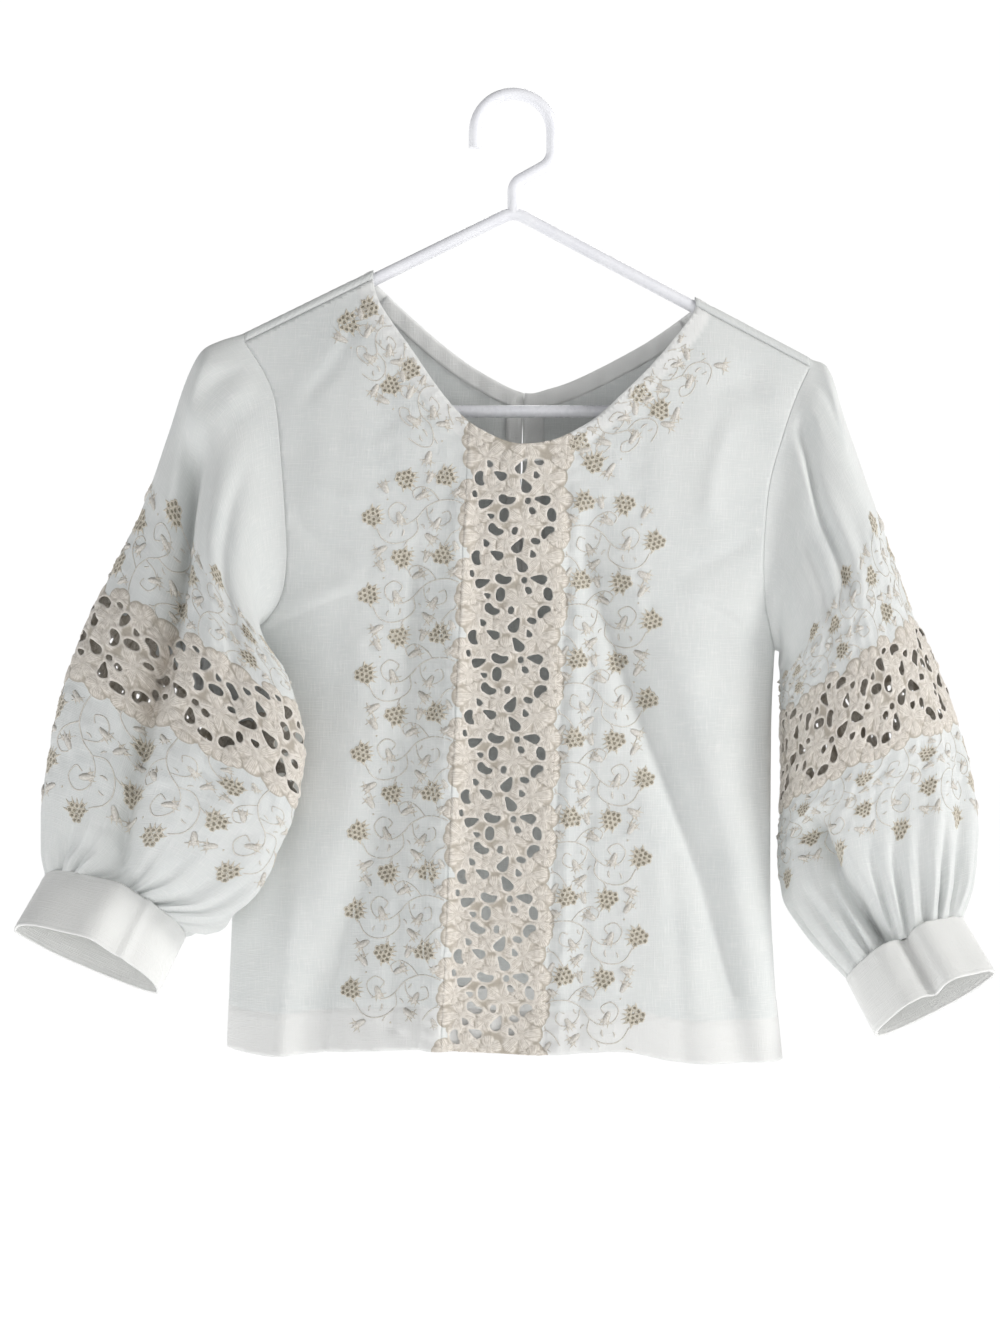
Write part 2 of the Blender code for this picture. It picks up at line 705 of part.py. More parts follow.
def front_panels(collection):
    """The two plain fronts and the cutwork band between them."""
    neck, hem = rounded(FRONT_NECK), rounded(FRONT_HEM)
    for side in (-1, 1):
        start = read_line(neck, 0, band_edge(side, 142))
        end = read_line(hem, 0, band_edge(side, 535))
        edge = band_line(side, start, end, side * SEAM_GAP)
        neck_x, hem_x = edge[0][0], edge[-1][0]
        limits = (neck[0][0], neck_x) if side < 0 else (neck_x, neck[-1][0])
        throat = part_of(neck, *limits)
        throat[0 if side > 0 else -1] = edge[0]
        arm = armhole_edge(side)
        near = 0 if side < 0 else -1
        throat[near] = (throat[near][0], arm_drop(throat[near][0]) + SEAM_GAP)
        arm[0] = (arm[0][0], arm_drop(arm[0][0]) + SEAM_GAP)
        shoulder = straight(throat[near], arm[0])
        drops = [arm[-1][1] + (540 - arm[-1][1]) * k / 8 for k in range(9)]
        bottom = part_of(hem, *((hem[0][0], hem_x) if side < 0 else (hem_x, hem[-1][0])))
        drops[-1] = bottom[0 if side < 0 else -1][1]
        bottom[-1 if side < 0 else 0] = edge[-1]
        seam = [(side * (body_width(d)[1] - SIDE_GAP), d) for d in drops]
        bottom_flat = flat(bottom)
        bottom_flat[0 if side < 0 else -1] = seam[-1]
        arm_flat = flat(arm)
        seam[0] = arm_flat[-1]
        if side < 0:
            throat = throat[::-1]
        else:
            bottom_flat = bottom_flat[::-1]
        lines = [
            (flat(edge)[::-1], 14), (flat(throat), 9), (flat(shoulder), 16),
            (arm_flat, None), (seam, 20), (bottom_flat, 16),
        ]
        rows = [(x - side * inset, d) for inset in (3, 9) for x, d in spaced(seam, 20)[1:-1]]
        name = "front_left" if side < 0 else "front_right"
        turned = [(x, drop - HEM_DEPTH) for x, drop in bottom_flat]
        cloth = cut_cloth(lines, (), 20, rows, [(turned, 18)])
        wall(name, cloth, front_point, collection)
        hem_fold(name, cloth, turned, front_point, collection)
    top = part_of(neck, band_edge(-1, 142), band_edge(1, 142))
    low = part_of(hem, band_edge(-1, 535), band_edge(1, 535))
    left = band_line(-1, top[0][1], low[0][1], 0)
    right = band_line(1, top[-1][1], low[-1][1], 0)
    lines = [(flat(top), 8), (flat(right), 14), (flat(low)[::-1], 12), (flat(left)[::-1], 14)]
    holes, first = [], top[0][1] + 22
    for k in range(int((low[0][1] - first) / REPEAT) + 1):
        for cell in CUTWORK:
            drop = first + REPEAT * k
            centre = across_of((band_edge(-1, drop + 25) + band_edge(1, drop + 25)) / 2, drop + 25)
            loop = opening_loop(cell, centre, drop)
            if max(p[1] for p in loop) < low[0][1] - 3:
                holes.append(loop)
    low_flat = flat(low)
    turned = [(x, drop - HEM_DEPTH) for x, drop in low_flat]
    wall("front_cutwork_band", cut_cloth(lines, holes, 18, (), [(turned, 12)]), front_point, collection, "cutwork")
    backing = cut_cloth(lines, holes, 18, (), [(turned, 12)], filled=True)
    hem_fold("front_band", backing, turned, front_point, collection)


def back_panel(collection):
    """The back in one piece, slit at the middle of the neck and brought over the hanger's arms."""
    neck = rounded(BACK_NECK)
    slit = [(SLIT_X - SLIT_WIDTH / 2, 0), (SLIT_X, SLIT_DEPTH), (SLIT_X + SLIT_WIDTH / 2, 0)]
    slit_drop = read_line(neck, 0, SLIT_X)
    slit = [(x, slit_drop + d) for x, d in slit]
    left_neck = part_of(neck, neck[0][0], slit[0][0])
    right_neck = part_of(neck, slit[2][0], neck[-1][0])
    left_neck[-1], right_neck[0] = slit[0], slit[2]
    wrap = OVER_ARM * math.pi - 0.2
    shoulders, tips, throats, arms, seams, over_arms = {}, {}, {}, {}, {}, []
    for side, neck_line in ((-1, left_neck), (1, right_neck)):
        arm = armhole_edge(side)
        near = neck_line[0] if side < 0 else neck_line[-1]
        ends = [(x, arm_drop(x) - wrap) for x in (near[0], arm[0][0])]
        shoulders[side] = flat(straight(*ends))
        tips[side] = flat([ends[1], arm[0]])
        throats[side] = flat([ends[0], near])
        arms[side] = flat(arm)
        drops = [arm[-1][1] + (532 - arm[-1][1]) * k / 8 for k in range(9)]
        seams[side] = [(side * (body_width(d)[1] - SIDE_GAP), d) for d in drops]
        seams[side][0] = arms[side][-1]
        for turn in (0, 0.25, 0.5, 0.75):
            line = [ends[0][0] + (ends[1][0] - ends[0][0]) * t for t in (0.03, 0.25, 0.5, 0.75, 0.97)]
            over_arms.append((flat([(x, arm_drop(x) - wrap * turn) for x in line]), 16))
    hem = [seams[-1][-1], (0, 530), seams[1][-1]]
    lines = [
        (throats[-1], wrap / 4), (flat(left_neck), 10), (flat(slit[:2]), 30), (flat(slit[1:]), 30),
        (flat(right_neck), 10), (throats[1][::-1], wrap / 4), (shoulders[1], 16), (tips[1], wrap / 4),
        (arms[1], None), (seams[1], 20), (hem[::-1], 20), (seams[-1][::-1], 20), (arms[-1][::-1], None),
        (tips[-1][::-1], wrap / 4), (shoulders[-1][::-1], 16),
    ]
    rows = [
        (x - side * inset, d) for side in (-1, 1) for inset in (3, 9) for x, d in spaced(seams[side], 20)[1:-1]
    ]
    turned = [(x, drop - HEM_DEPTH) for x, drop in hem]
    turned[0], turned[-1] = (turned[0][0] + 0.01, turned[0][1]), (turned[-1][0] - 0.01, turned[-1][1])
    cloth = cut_cloth(lines, (), 23, rows, [(turned, 22), *over_arms])
    wall("back", cloth, back_point, collection)
    hem_fold("back", cloth, turned, back_point, collection)


def hem_fold(name, cloth, turned, place, collection):
    """The hem turned up inside a panel: the panel's own points moved in, from its edge up to the turned line."""
    line = sorted(turned)
    folded = patch(cloth, lambda x, drop: drop > read_line(line, 0, x))
    wall(f"{name}_hem_fold", folded, place, collection, thick=FACING, under=CLOTH + SEAM_GAP)


def strip(name, line, lower, place, collection):
    """A narrow piece inside a panel, between two lines of the front view."""
    edges = [(flat(line), 12), (flat([line[-1], lower[-1]]), 30),
             (flat(lower)[::-1], 12), (flat([lower[0], line[0]]), 30)]
    wall(name, cut_cloth(edges, (), 40), place, collection, thick=FACING, under=CLOTH + FACING_GAP)


def facings(collection):
    """The strips that show inside the neck and behind the slit."""
    neck = spaced(rounded(FRONT_NECK)[4:-4], 12)
    strip("front_neck_facing", neck, moved_in(neck, FACING_WIDTH), front_point, collection)
    back = rounded(BACK_NECK)
    for name, low, high in (
        ("back_neck_facing_left", -80, SLIT_X - 2.2),
        ("back_neck_facing_right", SLIT_X + 2.2, 106),
    ):
        line = spaced(part_of(back, low, high), 11)
        strip(name, line, moved_in(line, FACING_WIDTH), back_point, collection)
    low = read_line(back, 0, SLIT_X) + FACING_WIDTH + 2
    for name, a, b in (
        ("slit_facing_left", SLIT_X - 10.5, SLIT_X - 0.6),
        ("slit_facing_right", SLIT_X + 0.6, SLIT_X + 13.5),
    ):
        strip(name, [(a, low), (b, low)], [(x, low + SLIT_DEPTH + 6) for x in (a, b)], back_point, collection)


def sleeve_half(sleeve, name, first, last, collection):
    """Half of a sleeve's tube, with its cutwork band and the gathers above the cuff."""
    girth, length = SLEEVE_GIRTH, SLEEVE_LENGTH
    low, high = first * girth + SEAM_GAP, last * girth - SEAM_GAP
    end = length - SEAM_GAP
    wave = girth / GATHERS / 4
    loop = sleeve.before if first == 0 else sleeve.behind
    top = [(girth * (share / 2 if first == 0 else 1 - share / 2), 0.0) for share, _, _ in loop]
    top = [(min(high, max(low, x)), y) for x, y in sorted(top)]
    runs = ((0.0, 49.0, 7), (49.0, end - 19, 17), (end - 19, end, 9.5))
    lines = [
        (top, None),
        *(([(high, y1), (high, y2)], spacing) for y1, y2, spacing in runs),
        ([(high, end), (low, end)], wave),
        *(([(low, y2), (low, y1)], spacing) for y1, y2, spacing in reversed(runs)),
    ]
    holes = []
    cell_length = girth / REPEATS_ROUND_SLEEVE
    band_middle = (SLEEVE_BAND_TOP + SLEEVE_BAND_END) / 2 * length
    band_share = (SLEEVE_BAND_END - SLEEVE_BAND_TOP) * length / (2 * BAND_HALF_WIDTH)
    for k in range(REPEATS_ROUND_SLEEVE // 2):
        for cell in CUTWORK:
            loop = opening_loop(cell, 0, 0)
            holes.append([
                (first * girth + (k + along / REPEAT) * cell_length, band_middle + across * band_share)
                for across, along in loop
            ])
    rows = [
        (low + (high - low) * k / round((high - low) / wave), end - up)
        for up in (9, 19)
        for k in range(1, round((high - low) / wave))
    ]
    rows += [
        (low + (high - low) * k / round((high - low) / wave / 2), end - 33)
        for k in range(1, round((high - low) / wave / 2))
    ]
    for near, down in ((7, (6, 13, 20, 28)), (16, (6, 13, 20, 28))):
        rows += [(near if first == 0 else girth - near, y) for y in down]
    for near in (6, 13, 22, 32):
        rows += [(girth / 2 - near if first == 0 else girth / 2 + near, y) for y in (7, 14, 21, 29, 38, 49)]
    cloth = cut_cloth(lines, holes, 21, rows)
    return wall(name, cloth, sleeve.placed, collection)


def cuff(sleeve, name, collection, ridges, columns=28, rows=2):
    """The cuff: a doubled band that carries on from the sleeve's last ring, creased as the photo shows."""
    shape = bmesh.new()
    rings = []
    for j in range(rows + 1):
        down = 0.7 + (CUFF_HEIGHT - 1) * j / rows
        ring = []
        for i in range(columns):
            around = i / columns
            place, _ = sleeve.ring(around, 1.0)
            first, last = sleeve.ring(0.0, 1.0)[0], sleeve.ring(0.5, 1.0)[0]
            forward = sleeve.ring(0.25, 1.0)[1]
            axis = (last - first).cross(forward).normalized()
            axis = axis if axis.z < 0 else -axis
            bulge = sum(
                depth * math.exp(-(((around - at) / width) ** 2)) for at, width, depth in ridges
            )
            shut = (first + last) / 2
            place = shut + (place - shut) * (1 + 0.02 * j / rows)
            ring.append(shape.verts.new((place + forward * bulge + axis * down) * MM))
        rings.append(ring)
    for upper, lower in zip(rings, rings[1:]):
        for i in range(columns):
            k = (i + 1) % columns
            shape.faces.new([upper[i], lower[i], lower[k], upper[k]])
    bmesh.ops.recalc_face_normals(shape, faces=shape.faces)
    mesh = bpy.data.meshes.new(name)
    shape.to_mesh(mesh)
    shape.free()
    mesh.shade_smooth()
    obj = keep(bpy.data.objects.new(name, mesh), collection, "cloth")
    doubled = obj.modifiers.new("doubled cloth", "SOLIDIFY")
    doubled.thickness = CUFF_CLOTH * MM
    doubled.offset = 0
    return obj


def bent_line(corners, closed):
    """Points along straight runs with a round bend at each corner that has one."""
    made = []
    count = len(corners)
    for k, corner in enumerate(corners):
        here = Vector((corner.x, corner.z))
        if not closed and k in (0, count - 1):
            made.append(here)
            continue
        before = Vector((corners[k - 1].x, corners[k - 1].z)) - here
        after = Vector((corners[(k + 1) % count].x, corners[(k + 1) % count].z)) - here
        half = before.angle(after) / 2
        reach = corner.bend / math.tan(half)
        centre = here + (before.normalized() + after.normalized()).normalized() * corner.bend / math.sin(half)
        start, end = here + before.normalized() * reach, here + after.normalized() * reach
        sweep = (start - centre).angle_signed(end - centre)
        steps = max(3, round(abs(sweep) / 0.4))
        for n in range(steps + 1):
            ray = start - centre
            turn = -sweep * n / steps
            made.append(centre + Vector((
                ray.x * math.cos(turn) - ray.y * math.sin(turn),
                ray.x * math.sin(turn) + ray.y * math.cos(turn),
            )))
    return made


def tube(name, points, radius, collection, finish, closed=False, sides=12):
    """A round tube along points given in the row frame, in millimetres, with a rounded end at each cap."""
    points = [Vector(p) for p in points]
    count = len(points)
    shape = bmesh.new()
    rings, across = [], None
    for k, point in enumerate(points):
        before = points[k - 1] if k or closed else point
        after = points[(k + 1) % count] if k < count - 1 or closed else point
        along = (after - before).normalized()
        across = along.cross(Vector((0, -1, 0)) if across is None else across.cross(along)).normalized()
        third = along.cross(across)
        ring = []
        for i in range(sides):
            turn = 2 * math.pi * i / sides
            ring.append(shape.verts.new((point + (across * math.cos(turn) + third * math.sin(turn)) * radius) * MM))
        rings.append(ring)
    pairs = list(zip(rings, rings[1:])) + ([(rings[-1], rings[0])] if closed else [])
    for first, second in pairs:
        for i in range(sides):
            k = (i + 1) % sides
            shape.faces.new([first[i], first[k], second[k], second[i]])
    if not closed:
        for ring, point, ahead in ((rings[0], points[0], points[1]), (rings[-1], points[-1], points[-2])):
            out = (point - ahead).normalized()
            cap = [
                shape.verts.new(((Vector(v.co) / MM - point) * 0.6 + point + out * radius * 0.45) * MM)
                for v in ring
            ]
            for i in range(sides):
                k = (i + 1) % sides
                shape.faces.new([ring[i], ring[k], cap[k], cap[i]])
            shape.faces.new(cap)
    bmesh.ops.recalc_face_normals(shape, faces=shape.faces)
    mesh = bpy.data.meshes.new(name)
    shape.to_mesh(mesh)
    shape.free()
    mesh.shade_smooth()
    return keep(bpy.data.objects.new(name, mesh), collection, finish)


def hanger(collection):
    """A plain tubular hanger in one piece: sloping arms, a bar, and a hook over the apex."""
    end = HANGER_HALF_SPAN
    loop = (
        Corner(0, -APEX_DROP, 14),
        Corner(end, -arm_drop(end), 11),
        Corner(end - 6, -BAR_DROP, 11),
        Corner(6 - end, -BAR_DROP, 11),
        Corner(-end, -arm_drop(-end), 11),
    )
    points = [(p.x, 0, p.y - HOOK_RISE) for p in bent_line(loop, True)]
    frame = tube("hanger", points, TUBE_RADIUS, collection, "hanger", closed=True)
    points = [(p.x, 0, p.y - HOOK_RISE) for p in bent_line(HOOK_LINE, False)]
    hook = tube("hook", points, TUBE_RADIUS, collection, "hanger")
    hook.hide_render = True
    joined = frame.modifiers.new("hook", "BOOLEAN")
    joined.operation = "UNION"
    joined.solver = "EXACT"
    joined.object = hook


def fastening(collection):
    """The round button outside the back of the neck and the thin loop that holds it."""
    x, drop = SLIT_X + 8.0, read_line(rounded(BACK_NECK), 0, SLIT_X + 8.0) + 8.0
    seat = back_point((across_of(x, drop), drop))
    bpy.ops.mesh.primitive_cylinder_add(vertices=20, radius=5.5 * MM, depth=2.4 * MM)
    button = bpy.context.object
    button.name = "back_button"
    button.rotation_euler = (math.radians(90), 0, 0)
    button.location = (seat + Vector((0, 2.4 / 2 + 0.9, 0))) * MM
    for owner in list(button.users_collection):
        owner.objects.unlink(button)
    keep(button, collection, "button")
    edge = button.modifiers.new("edge", "BEVEL")
    edge.width = 0.6 * MM
    edge.segments = 2
    reach = 6.6
    loop = []
    for k in range(13):
        turn = math.radians(150 - 300 * k / 12)
        loop.append((x + reach * math.cos(turn), drop - reach * math.sin(turn)))
    loop = [(SLIT_X - 4.5, drop - 1.6), *loop, (SLIT_X - 4.5, drop + 1.6)]
    points = []
    for spot_x, spot_drop in loop:
        on = back_point((across_of(spot_x, spot_drop), spot_drop), 0.9)
        points.append(tuple(on))
    tube("back_button_loop", points, 0.6, collection, "button", sides=6)


def main():
    clear_scene()
    parts = bpy.data.collections.new("puff_sleeve_top")
    bpy.context.scene.collection.children.link(parts)
    front_panels(parts)
    back_panel(parts)
    facings(parts)
    left, right = Sleeve(-1, LEFT_RINGS, LEFT_FOLDS), Sleeve(1, RIGHT_RINGS, RIGHT_FOLDS)
    for sleeve, name in ((left, "left"), (right, "right")):
        sleeve_half(sleeve, f"sleeve_{name}_front", 0.0, 0.5, parts)
        sleeve_half(sleeve, f"sleeve_{name}_back", 0.5, 1.0, parts)
    cuff(left, "cuff_left", parts, ((0.25, 0.05, 6),))
    cuff(right, "cuff_right", parts, ((0.17, 0.05, 5), (0.24, 0.03, -6), (0.33, 0.05, 4)))
    hanger(parts)
    fastening(parts)


main()
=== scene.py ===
# Short puff-sleeve top of white cloth with cutwork bands, hanging on a tubular hanger.
# The sizes in the dictionaries are millimetres. A drop is measured down from a level 73 mm under the hook's
# inner top, which is where the hanger's arms meet. The front faces -Y.
import math

import bmesh
import bpy
import numpy as np
from mathutils import Matrix, Vector


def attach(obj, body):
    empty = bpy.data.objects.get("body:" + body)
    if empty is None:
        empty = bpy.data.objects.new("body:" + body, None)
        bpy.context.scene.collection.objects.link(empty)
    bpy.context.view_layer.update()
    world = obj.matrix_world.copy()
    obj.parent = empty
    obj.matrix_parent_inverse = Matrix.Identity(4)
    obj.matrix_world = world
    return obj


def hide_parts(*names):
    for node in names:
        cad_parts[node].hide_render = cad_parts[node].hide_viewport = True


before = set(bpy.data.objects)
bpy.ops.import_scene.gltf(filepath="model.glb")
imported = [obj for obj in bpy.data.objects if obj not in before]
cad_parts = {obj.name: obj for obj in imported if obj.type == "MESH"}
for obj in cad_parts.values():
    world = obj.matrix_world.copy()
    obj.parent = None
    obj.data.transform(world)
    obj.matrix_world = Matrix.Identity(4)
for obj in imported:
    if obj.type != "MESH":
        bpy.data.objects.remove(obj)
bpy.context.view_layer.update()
mm = 0.001
print("frame loaded")


# lines in the flat or in the front view

def roundedLine(points, steps=6, closed=False):
    ends = [points[-1], *points, points[0], points[1]] if closed else [points[0], *points, points[-1]]
    made = []
    for a, b, c, d in zip(ends, ends[1:], ends[2:], ends[3:]):
        for k in range(steps):
            t = k / steps
            made.append(tuple(0.5 * (2 * q + (r - p) * t + (2 * p - 5 * q + 4 * r - s) * t * t
                                     + (3 * q - p - 3 * r + s) * t ** 3) for p, q, r, s in zip(a, b, c, d)))
    return made if closed else made + [tuple(points[-1])]


def spacedLine(line, step):
    lengths = np.concatenate([[0], np.cumsum([math.dist(a, b) for a, b in zip(line, line[1:])])])
    wanted = np.linspace(0, lengths[-1], max(1, round(lengths[-1] / step)) + 1)
    return list(zip(*(np.interp(wanted, lengths, column) for column in zip(*line))))


def readLine(line, column, value):
    for a, b in zip(line, line[1:]):
        low, high = sorted((a[column], b[column]))
        if low <= value <= high and high > low:
            t = (value - a[column]) / (b[column] - a[column])
            return a[1 - column] + (b[1 - column] - a[1 - column]) * t
    return min(line, key=lambda p: abs(p[column] - value))[1 - column]


def partOfLine(line, low, high):
    within = [p for p in line if low + 0.5 < p[0] < high - 0.5]
    return [(low, readLine(line, 0, low)), *within, (high, readLine(line, 0, high))]


def movedIn(line, width):  # square to itself, towards the cloth below it
    made = []
    for k, p in enumerate(line):
        a, b = line[max(0, k - 1)], line[min(len(line) - 1, k + 1)]
        run = math.dist(a, b)
        made.append((p[0] - (b[1] - a[1]) / run * width, p[1] + (b[0] - a[0]) / run * width))
    return made


def ramp(value, low, high):  # 0 at low and 1 at high, eased at both ends
    t = np.clip((value - low) / (high - low), 0, 1)
    return t * t * (3 - 2 * t)


def dent(away, width):  # 1 in its middle, gone at about two widths
    return np.exp(-((away / width) ** 2))

def readTable(rows, column, at):  # a smooth curve through a table's column, keyed by its first column
    keys, values = (np.array([row[k] for row in rows], float) for k in (0, column))
    at = np.clip(at, keys[0], keys[-1])
    i = np.clip(np.searchsorted(keys, at, side="right") - 1, 0, len(keys) - 2)
    steps = np.diff(values) / np.diff(keys)
    product, total = steps[:-1] * steps[1:], steps[:-1] + steps[1:]
    inner = np.where(product > 0, 2 * product / np.where(total == 0, 1, total), 0)
    slopes = np.concatenate([steps[:1], inner, steps[-1:]])
    gap = keys[i + 1] - keys[i]
    t = (at - keys[i]) / gap
    return (values[i] * (1 + 2 * t) * (1 - t) ** 2 + values[i + 1] * t * t * (3 - 2 * t)
            + slopes[i] * gap * t * (1 - t) ** 2 - slopes[i + 1] * gap * t * t * (1 - t))


def offLine(x, y, line):  # distance from a line, way along it, way left
    best, found, passed = np.full(np.shape(x), 1e9), np.zeros(np.shape(x)), 0.0
    for a, b in zip(line, line[1:]):
        length = math.dist(a, b)
        t = np.clip(((x - a[0]) * (b[0] - a[0]) + (y - a[1]) * (b[1] - a[1])) / length ** 2, 0, 1)
        away = np.hypot(x - a[0] - (b[0] - a[0]) * t, y - a[1] - (b[1] - a[1]) * t)
        closer = away < best
        best, found = np.where(closer, away, best), np.where(closer, passed + length * t, found)
        passed += length
    return best, found, passed - found


def nearestOn(x, y, loop):  # distance and nearest place on a closed loop
    best, px, py = np.full(np.shape(x), 1e9), np.zeros(np.shape(x)), np.zeros(np.shape(x))
    for a, b in zip(loop, [*loop[1:], loop[0]]):
        dx, dy = b[0] - a[0], b[1] - a[1]
        t = np.clip(((x - a[0]) * dx + (y - a[1]) * dy) / max(1e-12, dx * dx + dy * dy), 0, 1)
        nx, ny = a[0] + dx * t, a[1] + dy * t
        away = np.hypot(x - nx, y - ny)
        closer = away < best
        best, px, py = np.where(closer, away, best), np.where(closer, nx, px), np.where(closer, ny, py)
    return best, px, py


def insideLoop(x, y, loop):
    crossed = np.zeros(np.shape(x), bool)
    for (x1, y1), (x2, y2) in zip(loop, [*loop[1:], loop[0]]):
        if y1 != y2:
            crossed ^= ((y1 > y) != (y2 > y)) & (x < x1 + (x2 - x1) * (y - y1) / (y2 - y1))
    return crossed


def ripples(x, y, seed, length, stretch=1.0, waves=14):  # soft uneven ground, mostly between -1 and 1
    random = np.random.default_rng(seed)
    total = np.zeros(np.shape(x))
    for _ in range(waves):
        turn = random.uniform(0, math.pi)
        phase = random.uniform(0, 2 * math.pi)
        k = 2 * math.pi / (length * random.uniform(0.6, 1.6))
        total += np.sin(k * (x * math.cos(turn) + y * math.sin(turn) / stretch) + phase)
    return total / math.sqrt(waves) / 1.4


def foldDepth(x, y, folds, openFrom):  # ridges and valleys along lines; one that reaches openFrom stays open
    total = np.zeros(np.shape(x))
    for width, depth, fadeLength, line in folds:
        away, before, after = offLine(x, y, line)
        fade = ramp(before, 0, fadeLength)
        if line[-1][1] < openFrom:
            fade = fade * ramp(after, 0, fadeLength)
        total += depth * fade * dent(away, width)
    return total


# the body, as it hangs

body = {
    "hookRise": 73.0, "apexDrop": -1.0, "leftSlope": 0.49, "rightSlope": 0.53, "overArm": 6.1,
    "frontOpen": 40.0, "backOpen": 30.0, "opensOver": 95.0, "sidePower": 3.2, "sideEase": 0.08,
    "sidesClose": (225, 270), "halfWall": 0.175, "seamGap": 0.16, "hemDepth": 27.0, "facingWidth": 11.0,
    "slitX": 5.5, "slitDepth": 110.0, "slitWidth": 2.4, "hemFrom": 500,
    # height, seed, length and stretch of the cloth's unevenness, and where it fades in under the arm
    "uneven": [(1.4, 4, 70, 2.2), (0.5, 9, 24, 3.2)], "calmUnder": (3, 40),
    # how far a fold takes to fade out, if it is deep and if it is shallow
    "deepFrom": 3, "deepFade": 45, "shallowFade": 18,
    "sides": [(40, -205, 215), (160, -200, 197), (240, -190, 177), (280, -183, 168.5), (340, -181, 166),
              (430, -181, 165.5), (490, -183, 168), (548, -185, 173.5)],
    "frontNeck": [(-90.5, 43.7), (-85, 61), (-64.5, 91.5), (-44.5, 120.5), (-27.5, 138.5), (-8, 149),
                  (5.5, 152), (21, 150.5), (34, 145.5), (54, 133), (84.5, 104), (109, 75), (117, 61.3)],
    "backNeck": [(-90.5, 43.5), (-67.5, 64.5), (-44.5, 84), (-22, 99.5), (5.5, 113), (24, 110.5), (47, 102),
                 (77, 87), (97, 75), (117, 61)],
    "leftArmhole": [(-173, 83.8), (-160, 104), (-152, 125), (-148, 160), (-145, 199), (-144, 228),
                    (-149, 252), (-163, 268), (-182.9, 277)],
    "rightArmhole": [(190.6, 100.0), (181, 120), (172, 145), (163.5, 174), (160, 203), (159, 230),
                     (161.5, 256), (168.4, 282)],
    "frontHem": [(-184.6, 536.5), (-154, 539), (-106, 535.5), (-56, 533), (-22, 534.5), (16, 536.5),
                 (66, 534.5), (97, 540.5), (121, 543.5), (173.2, 544.5)],
}

# face (-1 front, 1 back), half width, how far it comes out, the line it follows
bodyFolds = [
    (-1, 13, -11, [(36, 190), (60, 255), (89, 335), (121, 424), (150, 560)]),
    (-1, 17, 8, [(95, 250), (125, 350), (150, 440), (165, 560)]),
    (-1, 15, -10, [(-50, 200), (-62, 300), (-83, 404), (-112, 480), (-126, 560)]),
    (-1, 9, 6, [(-36, 180), (-40, 330), (-52, 560)]),
    (-1, 10, 7, [(-140, 420), (-152, 560)]),
    (-1, 12, -5, [(112, 117), (178, 108)]),
    (1, 18, -9, [(-70, 200), (-78, 380), (-92, 560)]),
    (1, 18, -9, [(78, 220), (84, 400), (96, 560)]),
    (1, 14, 6, [(10, 260), (6, 420), (0, 560)]),
    # sharper lines within them
    (-1, 3.6, -2.4, [(52, 236), (66, 284), (86, 340), (112, 410), (140, 500)]),
    (-1, 3.2, -2.0, [(-66, 330), (-84, 404), (-108, 470), (-122, 560)]),
    (-1, 5.0, 2.4, [(-30, 176), (-36, 330), (-49, 560)]),
    (-1, 6.0, -2.2, [(-70, 520), (-66, 470), (-63, 430)]),
    (-1, 5.0, 1.8, [(74, 240), (97, 330), (124, 410)]),
    (-1, 8.0, -2.6, [(-150, 340), (-146, 420), (-150, 470)]),
    # the darts' stitched lines and the small folds about them
    (-1, 1.6, -1.3, [(104.7, 247.7), (133, 259), (160, 278.6)]),
    (-1, 8, 2.6, [(100, 243), (131, 250), (163, 262)]),
    (-1, 1.6, -1.2, [(-94.6, 243), (-138, 261), (-172, 277)]),
    (-1, 8, 2.2, [(-90, 236), (-136, 252), (-172, 264)]),
    # puckers beside the cutwork band
    (-1, 2.4, 2.0, [(-36, 175), (-44, 330), (-55, 545)]),
    (-1, 2.6, -2.0, [(-42, 190), (-49, 340), (-61, 545)]),
    (-1, 2.8, 1.7, [(-50, 185), (-57, 350), (-68, 520)]),
    (-1, 2.8, -1.7, [(-57, 205), (-64, 360), (-76, 520)]),
    (-1, 3.2, 1.5, [(-66, 210), (-74, 350), (-86, 500)]),
    (-1, 2.4, -1.6, [(35, 170), (31, 300), (19, 545)]),
    (-1, 3.2, 1.5, [(41, 175), (38, 300), (27, 545)]),
    (-1, 3.6, -1.5, [(49, 260), (47, 400), (40, 545)]),
    # drag lines from the shoulders and the armholes
    (-1, 5, -1.8, [(-146, 190), (-120, 215), (-96, 222)]),
    (-1, 6, 1.6, [(-150, 160), (-118, 182), (-88, 190)]),
    (-1, 5, -1.6, [(-98, 62), (-112, 96), (-138, 128)]),
    (-1, 6, 2.0, [(140, 130), (128, 165), (122, 205)]),
    (-1, 5, -1.6, [(158, 205), (128, 225), (104, 232)]),
    (-1, 7, -2.0, [(-118, 470), (-131, 510), (-137, 560)]),
    (-1, 6, -2.4, [(-88, 450), (-95, 505), (-98, 560)]),
    (-1, 8, 1.8, [(-155, 300), (-160, 390), (-164, 470)]),
    (-1, 6, -1.8, [(96, 400), (104, 470), (108, 560)]),
    (1, 6, -2.0, [(-130, 300), (-140, 420), (-150, 560)]),
    (1, 7, 2.2, [(-30, 280), (-36, 420), (-44, 560)]),
    (1, 7, 2.2, [(48, 300), (50, 430), (56, 560)]),
    (1, 6, -2.0, [(130, 320), (138, 440), (140, 560)]),
]
bodyFolds = {side: [(width, depth, body["deepFade" if abs(depth) > body["deepFrom"] else "shallowFade"],
                     roundedLine(line, 4)) for face, width, depth, line in bodyFolds if face == side]
             for side in (-1, 1)}


def armDrop(x):
    return body["apexDrop"] + np.abs(x) * np.where(np.asarray(x) < 0, body["leftSlope"], body["rightSlope"])


def armLean(x):
    return np.hypot(1, np.where(np.asarray(x) < 0, body["leftSlope"], body["rightSlope"]))


def bodyWidth(drop):
    left, right = readTable(body["sides"], 1, drop), readTable(body["sides"], 2, drop)
    return (left + right) / 2, (right - left) / 2


